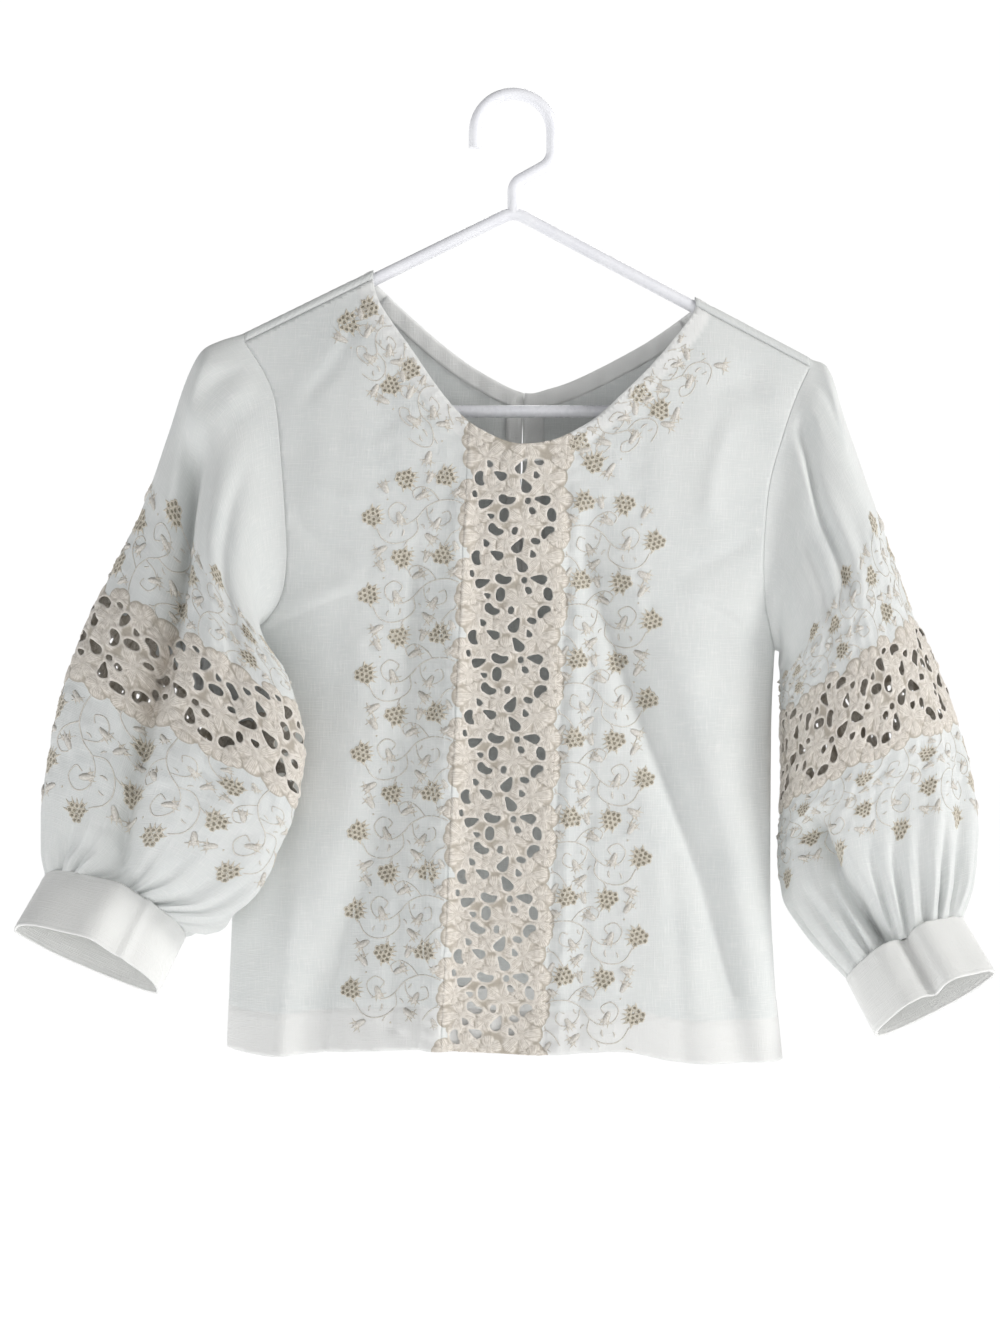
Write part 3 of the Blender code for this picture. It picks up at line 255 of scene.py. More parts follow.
def acrossOf(x, drop):
    middle, half = bodyWidth(drop)
    rest, ease = np.maximum(0, 1 - np.abs(x - middle) / half), body["sideEase"]
    edge = (rest + np.sqrt(rest * rest + 4 * (1 + ease) * rest * ease)) / (2 * (1 + ease))
    return np.copysign((1 - edge) * half, x - middle)


def xOf(across, drop):
    middle, half = bodyWidth(drop)
    edge = np.maximum(0, 1 - np.abs(across) / half)
    rest = (1 + body["sideEase"]) * edge * edge / (edge + body["sideEase"])
    return middle + np.copysign((1 - rest) * half, across)


def flatLine(line):
    return [(float(acrossOf(x, drop)), float(drop)) for x, drop in line]


def bodySurface(face, across, drop):
    across, drop = np.broadcast_arrays(np.asarray(across, float), np.asarray(drop, float))
    x = xOf(across, drop)
    middle, half = bodyWidth(drop)
    side = np.sqrt(np.maximum(0, 1 - np.minimum(1, np.abs(x - middle) / half) ** body["sidePower"]))
    below = np.maximum(0, drop - armDrop(x))
    opened = body["frontOpen" if face < 0 else "backOpen"] * (1 - np.exp(-below / body["opensOver"]))
    close = ramp(drop, *body["sidesClose"])
    depth = body["halfWall"] + body["overArm"] * (1 - close * (1 - side)) + opened * side
    folds = foldDepth(x, drop, bodyFolds[face], body["hemFrom"])
    uneven = sum(height * ripples(x, drop, seed + face, long, stretch)
                 for height, seed, long, stretch in body["uneven"])
    folds += uneven * ramp(below, *body["calmUnder"])
    depth = depth + folds * side
    return np.stack([x, face * depth, -body["hookRise"] - drop], -1)


def backSurface(across, drop):  # the back runs over the hanger's arm to the shoulder seam before it
    across, drop = np.broadcast_arrays(np.asarray(across, float), np.asarray(drop, float))
    x = xOf(across, drop)
    over = armDrop(x) - drop
    turn = np.clip(over / body["overArm"], 0, math.pi)
    wrapped = np.stack([x, body["overArm"] * np.cos(turn),
                        -body["hookRise"] - armDrop(x) + body["overArm"] * np.sin(turn) * armLean(x)], -1)
    return np.where((over <= 0)[..., None], bodySurface(1, across, drop), wrapped)


def lifted(surface, across, drop, lift, face):
    here = surface(across, drop)
    side, down = surface(across + 0.5, drop) - here, surface(across, drop + 0.5) - here
    out = np.cross(side, down)
    out *= face / np.maximum(1e-9, np.linalg.norm(out, axis=-1, keepdims=True))
    return here + out * np.reshape(lift, (-1, 1))


def frontPlace(across, drop, lift):
    return lifted(lambda a, d: bodySurface(-1, a, d), across, drop, lift, -1)


def backPlace(across, drop, lift):
    return lifted(backSurface, across, drop, lift, 1)


def armholeSeam(side):
    return spacedLine(roundedLine(body["leftArmhole" if side < 0 else "rightArmhole"]), 2.0)


# the sleeves: around runs 0 to 1 from the top down the front to the underarm and back up behind

sleeveCut = {
    "girth": 430.0, "length": 330.0, "bandTop": 0.475, "bandEnd": 0.645, "repeats": 8, "seamGap": 0.08,
    "gathers": 20, "gatherDepth": 3.8, "fineGathers": 2.3, "fineDepth": 0.9, "foldFade": 0.08,
    "cuffFrom": 0.99, "uneven": [(1.3, 35, 60, 2.2), (0.5, 36, 22, 2.0)],
    # how far down the armhole's edge eases into the puff, at the top, midway and at the underarm
    "easeTop": 0.02, "easeMiddle": 0.3, "easeUnder": 0.09,
}

leftSleeve = {
    "side": -1, "taken": {"front": 1.18, "back": 0.82},  # share of the girth that lies before and behind

    # at, then outer, inner and underarm seam as x, y and drop, then depth before, behind, and tilt
    "rings": [
        (0.00, -173, 0, 77.7, -166, -20, 270, -183, 0, 277.0, 18, 18, 0),
        (0.04, -188, 0, 82, -168, -30, 271, -186.5, -4, 277.5, 20, 20, 0),
        (0.08, -200, 0, 88, -167, -36, 273, -187, -6, 279, 23, 23, 0),
        (0.13, -209, 0, 103, -163, -40, 276, -186, -8, 282, 25, 24, 0),
        (0.23, -223, 0, 144, -154, -45, 282, -185, -8, 291, 28, 25, 0),
        (0.33, -238, 0, 187, -145, -50, 292, -185, -8, 305, 32, 25, 2),
        (0.475, -263, 0, 240, -136, -56, 316, -185, -8, 332, 36, 26, 5),
        (0.56, -277, -2, 271, -131, -58, 346, -185, -8, 356, 38, 26, 8),
        (0.645, -288, -4, 302, -135, -58, 380, -186, -8, 382, 38, 27, 12),
        (0.76, -298, -6, 347, -146, -52, 407, -188, -9, 414, 38, 26, 18),
        (0.87, -304, -6, 390, -166, -41, 441, -193, -12, 445, 34, 23, 24),
        (0.94, -304, -6, 411, -187, -27, 460, -201, -13, 459, 32, 17, 28),
        (1.00, -301, -6, 428, -211, -12, 466, -211, -12, 466, 32, 10, 30),
    ],
    # half width around, depth, line of (around, at)
    "folds": [
        (0.036, -20, [(0.075, 0.14), (0.118, 0.286), (0.14, 0.47), (0.142, 0.64), (0.16, 0.85), (0.25, 1.0)]),
        (0.012, -9.5, [(0.085, 0.17), (0.118, 0.286), (0.14, 0.47), (0.141, 0.64), (0.153, 0.81),
                       (0.177, 0.92)]),
        (0.016, 6.5, [(0.100, 0.14), (0.142, 0.286), (0.170, 0.47), (0.172, 0.64), (0.184, 0.81)]),
        (0.030, -6, [(0.30, 0.72), (0.33, 1.0)]),
        (0.040, -9, [(0.70, 0.30), (0.72, 0.6), (0.70, 1.0)]),
        (0.020, -3.0, [(0.19, 0.05), (0.215, 0.20), (0.24, 0.42), (0.245, 0.60)]),
        (0.016, 2.2, [(0.03, 0.03), (0.045, 0.12), (0.05, 0.26)]),
        (0.010, -2.4, [(0.055, 0.01), (0.062, 0.07), (0.068, 0.14)]),
        (0.010, -2.0, [(0.10, 0.01), (0.115, 0.06), (0.125, 0.12)]),
        (0.012, 2.0, [(0.075, 0.01), (0.088, 0.07), (0.10, 0.15)]),
        (0.018, -3.0, [(0.10, 0.66), (0.09, 0.80), (0.10, 0.98)]),
        (0.022, 3.2, [(0.20, 0.60), (0.21, 0.78), (0.235, 0.96)]),
        (0.018, -2.6, [(0.38, 0.50), (0.37, 0.70), (0.36, 0.98)]),
        (0.020, 2.6, [(0.03, 0.62), (0.035, 0.80), (0.05, 0.98)]),
    ],
}
rightSleeve = {
    "side": 1, "taken": {"front": 0.90, "back": 0.86},

    "rings": [
        (0.00, 190.6, 0, 94.2, 168.4, 0, 282, 168.4, 0, 282, 16, 14, 0),
        (0.05, 200, 0, 97.3, 170.5, 0, 282.5, 170.5, 0, 282.5, 20, 18, 0),
        (0.09, 205, 0, 105, 171.5, 0, 284, 171.5, 0, 284, 25, 22, 0),
        (0.15, 212, 0, 129, 171, 0, 291, 171, 0, 291, 32, 27, 0),
        (0.24, 226, 0, 170, 172, 2, 297, 172, 2, 297, 40, 32, 0),
        (0.34, 240, 0, 210, 172.5, 4, 305, 172.5, 4, 305, 46, 36, 2),
        (0.475, 258, 0, 262, 173, 5, 322, 173, 5, 322, 50, 38, 5),
        (0.56, 272, -2, 295, 173.5, 5, 353, 173.5, 5, 353, 52, 38, 8),
        (0.645, 285, -4, 332, 172.5, 5, 386, 172.5, 5, 386, 50, 38, 12),
        (0.76, 294, -6, 362, 170.5, 4, 412, 170.5, 4, 412, 44, 36, 18),
        (0.87, 298.5, -8, 398, 173, 0, 440, 173, 0, 440, 38, 30, 24),
        (0.94, 296, -10, 428, 187, -4, 464, 187, -4, 464, 30, 22, 28),
        (1.00, 287.5, -12, 455, 214.5, -8, 494, 214.5, -8, 494, 22, 12, 30),
    ],
    "folds": [
        (0.026, -7, [(0.10, 0.03), (0.154, 0.113), (0.20, 0.20), (0.21, 0.36)]),
        (0.032, -14, [(0.385, 0.70), (0.352, 0.86), (0.30, 1.0)]),
        (0.012, -7.5, [(0.385, 0.70), (0.357, 0.84), (0.333, 0.94), (0.285, 1.0)]),
        (0.016, 4.5, [(0.350, 0.72), (0.325, 0.86), (0.29, 0.97)]),
        (0.010, -3.0, [(0.115, 0.05), (0.155, 0.12), (0.195, 0.18), (0.205, 0.30)]),
        (0.040, -9, [(0.74, 0.30), (0.72, 0.6), (0.74, 1.0)]),
        (0.010, -2.4, [(0.042, 0.01), (0.056, 0.10), (0.065, 0.17)]),
        (0.014, 2.6, [(0.075, 0.01), (0.095, 0.09), (0.115, 0.18)]),
        (0.012, 2.2, [(0.13, 0.02), (0.18, 0.11), (0.22, 0.20)]),
        (0.018, -2.4, [(0.26, 0.10), (0.28, 0.28), (0.28, 0.46)]),
        (0.020, 3.0, [(0.32, 0.70), (0.315, 0.86), (0.28, 1.0)]),
        (0.016, -4.0, [(0.40, 0.70), (0.395, 0.86), (0.36, 1.0)]),
        (0.018, -3.0, [(0.20, 0.72), (0.21, 0.86), (0.23, 1.0)]),
        (0.022, 2.6, [(0.12, 0.64), (0.13, 0.80), (0.15, 0.98)]),
        (0.018, -2.6, [(0.06, 0.66), (0.065, 0.82), (0.08, 0.98)]),
    ],
}
for sleeve in (leftSleeve, rightSleeve):
    sleeve["folds"] = [(width, depth, sleeveCut["foldFade"], roundedLine(line, 4))
                       for width, depth, line in sleeve["folds"]]


def unit(v):
    return v / np.maximum(1e-9, np.linalg.norm(v, axis=-1, keepdims=True))


def armholeLoops(side):  # before and behind: share of the way down, place, way out
    seam = np.array(armholeSeam(side))
    tip = seam[0, 0]
    across = acrossOf(seam[:, 0], seam[:, 1])
    loops = []
    for face in (-1, 1):
        places, ways = [], []
        for turn in (0, math.pi / 4):
            rise = body["overArm"] * math.cos(turn) * float(armLean(tip))
            places.append([tip, face * body["overArm"] * math.sin(turn),
                           rise - body["hookRise"] - float(armDrop(tip))])
            ways.append([0, face * math.sin(turn), math.cos(turn)])
        on = bodySurface(face, across, seam[:, 1])
        out = lifted(lambda a, d: bodySurface(face, a, d), across, seam[:, 1], np.ones(len(seam)), face) - on
        places, ways = np.vstack([places, on]), np.vstack([ways, out])
        places[-1, 1], ways[-1] = 0, (side, 0, 0)
        lengths = np.concatenate([[0], np.cumsum(np.linalg.norm(np.diff(places, axis=0), axis=1))])
        loops.append((lengths / lengths[-1], places, ways))
    return loops


arcSteps = 32  # of half a ring of the sleeve


def readLoop(loop, share):
    shares, places, ways = loop
    return (np.stack([np.interp(share, shares, places[:, k]) for k in range(3)], -1),
            np.stack([np.interp(share, shares, ways[:, k]) for k in range(3)], -1))


def sleeveRing(sleeve, around, at):
    rows = [readTable(sleeve["rings"], k, at) for k in range(1, 13)]
    outer, inner, seam = (np.stack([rows[k], rows[k + 1], -body["hookRise"] - rows[k + 2]], -1)
                          for k in (0, 3, 6))
    before = around <= 0.5
    front = before[..., None]
    share = np.where(before, 2 * around, 2 - 2 * around)
    main = np.where(front, inner, seam) - outer
    depth = np.where(before, rows[9], rows[10])
    length = np.linalg.norm(main, axis=-1)
    angles = np.linspace(0, math.pi, arcSteps + 1)
    runs = np.hypot(length[..., None] / 2 * -np.diff(np.cos(angles)),
                    depth[..., None] * np.diff(np.sin(angles)))
    gone = np.concatenate([np.zeros((*runs.shape[:-1], 1)), np.cumsum(runs, -1)], -1)
    arc = gone[..., -1]
    turnBack = np.where(before, np.linalg.norm(seam - inner, axis=-1), 0)
    passed = share * (arc + turnBack)
    beyond = (passed > arc + 1e-9)[..., None]
    wanted = np.minimum(passed, arc)
    k = np.clip(np.sum(gone <= wanted[..., None], -1) - 1, 0, arcSteps - 1)
    low, high = (np.take_along_axis(gone, k[..., None] + step, -1)[..., 0] for step in (0, 1))
    angle = math.pi * (k + (wanted - low) / np.maximum(1e-9, high - low)) / arcSteps
    tilt = np.radians(rows[11])[..., None]
    down = unit(np.stack([main[..., 2], np.zeros_like(length), -main[..., 0]], -1))
    down = np.where(down[..., 2:] > 0, -down, down)
    forward = (np.array([0, -1.0, 0]) * np.cos(tilt) - down * np.sin(tilt)) * np.where(front, 1, -1)
    sine, cosine = np.sin(angle)[..., None], np.cos(angle)[..., None]
    place = outer + main * (1 - cosine) / 2 + forward * depth[..., None] * sine
    out = forward * sine * length[..., None] / 2 - unit(main) * cosine * depth[..., None]
    t = np.clip((passed - arc) / np.maximum(1e-9, turnBack), 0, 1)[..., None]
    backOut = unit(main) * (1 - t) + unit(seam - outer) * t + np.array([0, 1.0, 0]) * np.sin(math.pi * t)
    return np.where(beyond, inner * (1 - t) + seam * t, place), unit(np.where(beyond, backOut, out))


def sleeveSurface(sleeve, around, at):
    around = around % 1.0
    place, out = sleeveRing(sleeve, around, at)
    girth, gathers = sleeveCut["girth"], sleeveCut["gathers"]
    u, v = around * girth, at * sleeveCut["length"]
    offSeam = girth * np.minimum(np.minimum(around, 1 - around), np.abs(0.5 - around))
    free = 1 - dent(offSeam, 10)
    moved = foldDepth(around, at, sleeve["folds"], sleeveCut["cuffFrom"])
    uneven = 0.5 + 0.5 * ripples(u, v * 0.3, 31, 46)
    gather = ramp(at, 0.75 + 0.12 * uneven, 0.97) * (1 - 0.55 * ramp(at, 0.97, 1.0))
    wave = np.cos(2 * math.pi * gathers * around + 0.9 * ripples(u, v * 0.15, 33, 60))
    moved += sleeveCut["gatherDepth"] * gather * free * (0.5 + 0.7 * uneven) * (wave - 0.5 * np.abs(wave))
    finer = np.cos(2 * math.pi * sleeveCut["fineGathers"] * gathers * around + 2.2
                   * ripples(u, v * 0.1, 37, 40))
    moved += sleeveCut["fineDepth"] * free * ramp(at, 0.90, 0.965) * (1 - ramp(at, 0.975, 1.0)) * finer
    ground = sum(height * ripples(u, v, seed, long, stretch) for height, seed, long,
                 stretch in sleeveCut["uneven"])
    moved += ramp(at, 0.01, 0.09) * free * ground * (1 - 0.6 * gather)
    place = place + out * moved[..., None]
    before = around <= 0.5
    share = np.where(before, 2 * around, 2 - 2 * around)
    low, high = np.where(before, 0.86, 0.6), np.where(before, 1.0, 0.92)
    reach = (sleeveCut["easeTop"] + (sleeveCut["easeMiddle"] - sleeveCut["easeTop"]) * ramp(share, 0, 0.25)
             - (sleeveCut["easeMiddle"] - sleeveCut["easeUnder"]) * ramp(share, low, high))
    joined = 1 - (1 - np.minimum(1, at / reach)) ** 2
    (front, frontWay), (rear, rearWay) = (readLoop(loop, share) for loop in sleeve["loops"])
    seam = np.where(before[..., None], front, rear)
    return seam + (place - seam) * joined[..., None], np.where(before[..., None], frontWay, rearWay)


def sleevePlace(sleeve, across, down, lift):
    around, at = np.asarray(across) / sleeveCut["girth"], np.asarray(down) / sleeveCut["length"]
    here, way = sleeveSurface(sleeve, around, at)
    back = at > sleeveCut["cuffFrom"]
    side = sleeveSurface(sleeve, around + 0.004, at)[0] - here
    down = sleeveSurface(sleeve, around, np.where(back, at - 0.004, at + 0.004))[0] - here
    out = unit(np.cross(side, down)) * np.where(back, -1, 1)[..., None] * sleeve["side"]
    turned = ramp(at, 0, 0.035)[..., None]
    return here + unit(way * (1 - turned) + out * turned) * np.reshape(lift, (-1, 1))


for sleeve in (leftSleeve, rightSleeve):
    sleeve["loops"] = armholeLoops(sleeve["side"])
print("forms ready")


# cutwork: the openings and flowers of one 61 by 50 mm repeat

cutwork = {
    "halfWidth": 30.5, "repeat": 50.0, "firstBelowNeck": 22.0, "stitchedTo": 25.5, "bare": 7.0,
    "petalRise": 1.2, "rimRise": 0.5, "rimFrom": 2.2, "rimTo": 0.6,
    "oval": [(-0.5, 0.08), (-0.3, -0.42), (0.22, -0.5), (0.5, -0.12), (0.34, 0.42), (-0.2, 0.5)],
    "wedge": [(-0.5, 0.02), (-0.3, -0.24), (0.16, -0.5), (0.44, -0.36), (0.5, 0.12), (0.3, 0.5),
              (-0.14, 0.3)],
    "hook": [(-0.5, -0.1), (-0.36, -0.42), (0.06, -0.34), (0.42, -0.5), (0.5, -0.1), (0.3, 0.34),
             (-0.12, 0.5), (-0.4, 0.3)],
    # across, along, length, width, turn, shape
    "openings": [
        (3.2, 6.5, 10.5, 6.4, 118, "wedge"), (5.0, 18.8, 10.5, 6.4, 60, "wedge"),
        (-5.0, 28.0, 10.0, 6.2, 20, "hook"), (-17.0, 30.0, 9.5, 6.2, 160, "wedge"),
        (-6.0, 37.5, 9.0, 5.4, 95, "oval"), (-11.0, 47.0, 10.0, 6.2, 40, "hook"),
        (15.8, 28.0, 10.0, 6.2, 10, "wedge"), (21.8, 37.5, 9.0, 5.2, 80, "oval"),
        (-21.5, 14.5, 9.5, 5.8, 85, "hook"), (19.5, 48.0, 9.0, 6.0, 140, "hook"),
        (-9.5, 12.5, 8.5, 5.6, 30, "wedge"), (0.6, 47.5, 5.2, 3.6, 100, "oval"),
        (10.2, 35.0, 5.2, 3.6, 60, "oval"), (-24.0, 24.5, 4.8, 3.2, 80, "oval"),
        (13.0, 4.0, 6.0, 3.8, 20, "oval"), (-14.0, 38.0, 4.6, 3.5, 30, "wedge"),
        (11.5, 12.0, 5.4, 4.0, 70, "wedge"), (-16.0, 5.0, 5.2, 3.9, 60, "wedge"),
        (7.5, 28.6, 4.4, 3.4, 100, "oval"),
    ],
    # across, along, radius, petals, turn
    "flowers": [
        (17.0, 14.5, 13.5, 5, 10), (-18.0, 1.0, 14.0, 5, 40), (6.0, 42.0, 12.0, 5, 75),
        (-14.0, 21.5, 11.0, 5, 20), (25.0, 28.0, 9.5, 4, 0), (-23.0, 38.0, 10.5, 5, 60),
        (-4.0, 4.0, 9.0, 4, 30), (-1.0, 22.0, 8.5, 4, 10), (26.0, 43.0, 9.0, 4, 45),
        (-27.0, 22.0, 7.5, 4, 20), (26.5, 2.0, 7.5, 4, 20), (14.0, 36.0, 8.0, 4, 30),
    ],
}


def rimLift(away):  # the rim of stitches round an opening
    return cutwork["rimRise"] * ramp(away, cutwork["rimFrom"], cutwork["rimTo"])


def openingLoop(opening, centre, along, wide=1.0, long=1.0, swap=False):
    across, down, length, width, turn, shape = opening
    turn, loop = math.radians(turn), []
    for u, w in roundedLine(cutwork[shape], 4, closed=True):
        a = across + u * length * math.cos(turn) - w * width * math.sin(turn)
        b = down + u * length * math.sin(turn) + w * width * math.cos(turn)
        loop.append((along + b * long, centre + a * wide) if swap else (centre + a * wide, along + b * long))
    return loop


def flowerField(across, along):  # how far a petal stands out, way inside the stitched edge, thread direction
    best, second = np.full(np.shape(across), 9.0), np.full(np.shape(across), 9.0)
    relief, thread, margin = np.zeros_like(best), np.zeros_like(best), np.full(np.shape(across), -9.0)
    repeat = cutwork["repeat"]
    for x, y, radius, petals, turn in cutwork["flowers"]:
        dx, dy = across - x, (along - y + repeat / 2) % repeat - repeat / 2
        away, angle = np.hypot(dx, dy), np.arctan2(dy, dx) + math.radians(turn)
        lobe = np.abs(np.cos(petals * angle / 2))
        share = away / (radius * (0.80 + 0.20 * np.sqrt(lobe)))
        closer = share < best
        petal = np.minimum(1, 1.5 * lobe) * np.sin(math.pi * np.clip(0.10 + 0.80 * share, 0, 1)) ** 0.8
        dome = 0.12 + 0.88 * petal + 0.6 * dent(away, 1.9)
        second = np.where(closer, best, np.minimum(second, share))
        best = np.where(closer, share, best)
        relief = np.where(closer, dome * ramp(share, 1.06, 0.72), relief)
        thread = np.where(closer, angle * radius * 0.55 + 0.25 * away * np.sin(petals * angle), thread)
        margin = np.maximum(margin, (1 - share) * radius)
    return relief * ramp(second - best, 0, 0.16), margin, thread


# a panel of cloth is a grid laid flat, trimmed to its outline and openings

def linked(name, data):
    obj = bpy.data.objects.new(name, data)
    bpy.context.scene.collection.objects.link(obj)
    return obj


def meshOf(name, made):
    mesh = bpy.data.meshes.new(name)
    made.to_mesh(mesh)
    made.free()
    return mesh


def closedUp(mesh, merge=0.0, rimOnly=False, outward=True):
    made = bmesh.new()
    made.from_mesh(mesh)
    if merge:
        bmesh.ops.remove_doubles(made, verts=[v for v in made.verts if v.is_boundary or not rimOnly],
                                 dist=merge)
    if outward:
        bmesh.ops.recalc_face_normals(made, faces=made.faces)
    made.to_mesh(mesh)
    made.free()
    mesh.shade_smooth()


def clothGrid(columns, rows, spot):  # spot gives the flat place of a column and a row
    cloth = bmesh.new()
    bmesh.ops.create_grid(cloth, x_segments=columns - 1, y_segments=rows - 1, size=1)
    for v in cloth.verts:
        v.co = (*spot(round((v.co.x + 1) / 2 * (columns - 1)), round((v.co.y + 1) / 2 * (rows - 1))), 0)
    return cloth


def gridLines(low, high, step, exact=()):
    stops = sorted({low, high, *[v for v in exact if low < v < high]})
    made = [low]
    for a, b in zip(stops, stops[1:]):
        made += list(np.linspace(a, b, max(1, round((b - a) / step)) + 1)[1:])
    return made


def gradedLines(stops, steps):  # a finer step where the stitches need it
    made = [stops[0]]
    for low, high, step in zip(stops, stops[1:], steps):
        made += gridLines(low, high, step)[1:]
    return made


def nearBox(x, y, loop, reach=0.0):  # which places lie in a loop's box, widened by reach
    xs, ys = zip(*loop)
    return np.flatnonzero((x > min(xs) - reach) & (x < max(xs) + reach) & (y > min(ys) - reach)
                          & (y < max(ys) + reach))


def cutPanel(xs, ys, outline=None, openings=(), corners=()):
    cloth = clothGrid(len(xs), len(ys), lambda column, row: (xs[column], ys[row]))
    x, y = np.array([f.calc_center_median()[:2] for f in cloth.faces]).T
    kept = insideLoop(x, y, outline) if outline else np.ones(len(x), bool)
    for loop in openings:
        near = nearBox(x, y, loop)
        kept[near[insideLoop(x[near], y[near], loop)]] = False
    cloth.faces.ensure_lookup_table()
    bmesh.ops.delete(cloth, geom=[cloth.faces[k] for k in np.flatnonzero(~kept)], context="FACES")
    pinched = [v for v in cloth.verts if v.is_boundary and sum(e.is_boundary for e in v.link_edges) > 2]
    bmesh.ops.delete(cloth, geom=list({f for v in pinched for f in v.link_faces[:1]}), context="FACES")
    edge = [v for v in cloth.verts if v.is_boundary]
    x, y = np.array([v.co[:2] for v in edge]).T
    rim = outline or [(xs[0], ys[0]), (xs[-1], ys[0]), (xs[-1], ys[-1]), (xs[0], ys[-1])]
    best, px, py = nearestOn(x, y, rim)
    reach = 2 * max(xs[1] - xs[0], ys[1] - ys[0], 1.5)
    for loop in openings:
        near = nearBox(x, y, loop, reach)
        if len(near):
            away, nx, ny = nearestOn(x[near], y[near], loop)
            closer = away < best[near]
            for store, found in ((best, away), (px, nx), (py, ny)):
                store[near] = np.where(closer, found, store[near])
    for v, a, b in zip(edge, px, py):
        v.co.x, v.co.y = a, b
    for corner in corners:
        v = min(edge, key=lambda v: (v.co.x - corner[0]) ** 2 + (v.co.y - corner[1]) ** 2)
        v.co.x, v.co.y = corner
    second = list({w for v in edge for e in v.link_edges for w in (e.other_vert(v),) if not w.is_boundary})
    for _ in range(2):
        bmesh.ops.smooth_vert(cloth, verts=second, factor=0.5, use_axis_x=True, use_axis_y=True)
    bmesh.ops.remove_doubles(cloth, verts=cloth.verts, dist=0.01)
    return cloth


def flatOf(cloth):
    return np.array([v.co[:2] for v in cloth.verts])


def openingDistance(flat, openings, reach=cutwork["bare"]):
    away = np.full(len(flat), reach)
    for loop in openings:
        near = nearBox(*flat.T, loop, reach)
        if len(near):
            away[near] = np.minimum(away[near], nearestOn(*flat[near].T, loop)[0])
    return away


def slotted(obj, material, node=None):
    obj.data.materials.clear()
    obj.data.materials.append(material)
    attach(obj, "root")
    if node:
        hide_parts(node)
    return obj


def hang(name, cloth, place, material, node, thick=0.5, lift=0.0, fields=None,
         face=1, cut=None, taken=1.0):
    flat = flatOf(cloth)
    layer = cloth.loops.layers.uv.new("cut")
    for f in cloth.faces:
        for corner in f.loops:
            corner[layer].uv = (corner.vert.co.x / 100, corner.vert.co.y / 100)
    area = sum(f.calc_area() for f in cloth.faces)
    size = (np.array(cut) if cut else flat.max(0) - flat.min(0)) * mm
    mesh = meshOf(name, cloth)
    for field, values in (fields or {}).items():
        mesh.attributes.new(field, "FLOAT", "POINT").data.foreach_set("value", np.asarray(values, np.float32))
    placed = place(flat[:, 0], flat[:, 1], np.broadcast_to(lift, len(flat)).astype(float)) * mm
    mesh.vertices.foreach_set("co", placed.astype(np.float32).ravel())
    mesh.update()
    if face < 0:
        mesh.flip_normals()
    mesh.shade_smooth()
    obj = linked(name, mesh)
    wall = obj.modifiers.new("cloth thickness", "SOLIDIFY")
    wall.thickness, wall.offset = thick * mm, -1
    slotted(obj, material, node)
    area *= mm * mm * taken
    size[0] *= taken
    return obj


# finishes

def newGroup(name, inputs, outputs):
    group = bpy.data.node_groups.new(name, "ShaderNodeTree")
    for label, kind, value in inputs:
        socket = group.interface.new_socket(name=label, in_out="INPUT", socket_type=kind)
        if value is not None:
            socket.default_value = value
    for label, kind in outputs:
        group.interface.new_socket(name=label, in_out="OUTPUT", socket_type=kind)
    return group, group.nodes.new("NodeGroupInput"), group.nodes.new("NodeGroupOutput")


def feed(tree, socket, value):  # a link, or a fixed value
    if isinstance(value, bpy.types.NodeSocket):
        tree.links.new(value, socket)
    elif value is not None:
        socket.default_value = value


def mathNode(tree, operation, a, b=None):
    node = tree.nodes.new("ShaderNodeMath")
    node.operation = operation
    feed(tree, node.inputs[0], a)
    feed(tree, node.inputs[1], b)
    return node.outputs[0]


def mapNode(tree, value, low, high, toLow=0.0, toHigh=1.0):
    node = tree.nodes.new("ShaderNodeMapRange")
    node.interpolation_type = "SMOOTHSTEP"
    tree.links.new(value, node.inputs["Value"])
    for label, number in (("From Min", low), ("From Max", high), ("To Min", toLow), ("To Max", toHigh)):
        node.inputs[label].default_value = number
    return node.outputs["Result"]


def noiseNode(tree, vector, scale, detail=2.0, stretch=(1, 1, 1)):
    mapping = tree.nodes.new("ShaderNodeMapping")
    mapping.inputs["Scale"].default_value = stretch
    tree.links.new(vector, mapping.inputs["Vector"])
    node = tree.nodes.new("ShaderNodeTexNoise")
    node.inputs["Scale"].default_value, node.inputs["Detail"].default_value = scale, detail
    tree.links.new(mapping.outputs[0], node.inputs["Vector"])
    return node.outputs["Fac"]


def mixColour(tree, share, a, b):
    node = tree.nodes.new("ShaderNodeMix")
    node.data_type, node.blend_type = "RGBA", "MIX"
    for socket, value in zip((node.inputs[0], node.inputs[6], node.inputs[7]), (share, a, b)):
        feed(tree, socket, value)
    return node.outputs[2]


def attributeNode(tree, name):
    node = tree.nodes.new("ShaderNodeAttribute")
    node.attribute_name = name
    return node.outputs["Fac"]


def bumped(tree, shader, height, strength, distance):
    bump = tree.nodes.new("ShaderNodeBump")
    bump.inputs["Strength"].default_value, bump.inputs["Distance"].default_value = strength, distance
    tree.links.new(height, bump.inputs["Height"])
    tree.links.new(bump.outputs[0], shader.inputs["Normal"])


def objectPlace(tree):
    return tree.nodes.new("ShaderNodeTexCoord").outputs["Object"]


def waveNode(tree, turns):
    return mathNode(tree, "SINE", mathNode(tree, "MULTIPLY", turns, 2 * math.pi))


def sumNode(tree, a, b, share):  # a and a share of b
    return mathNode(tree, "ADD", a, mathNode(tree, "MULTIPLY", b, share))


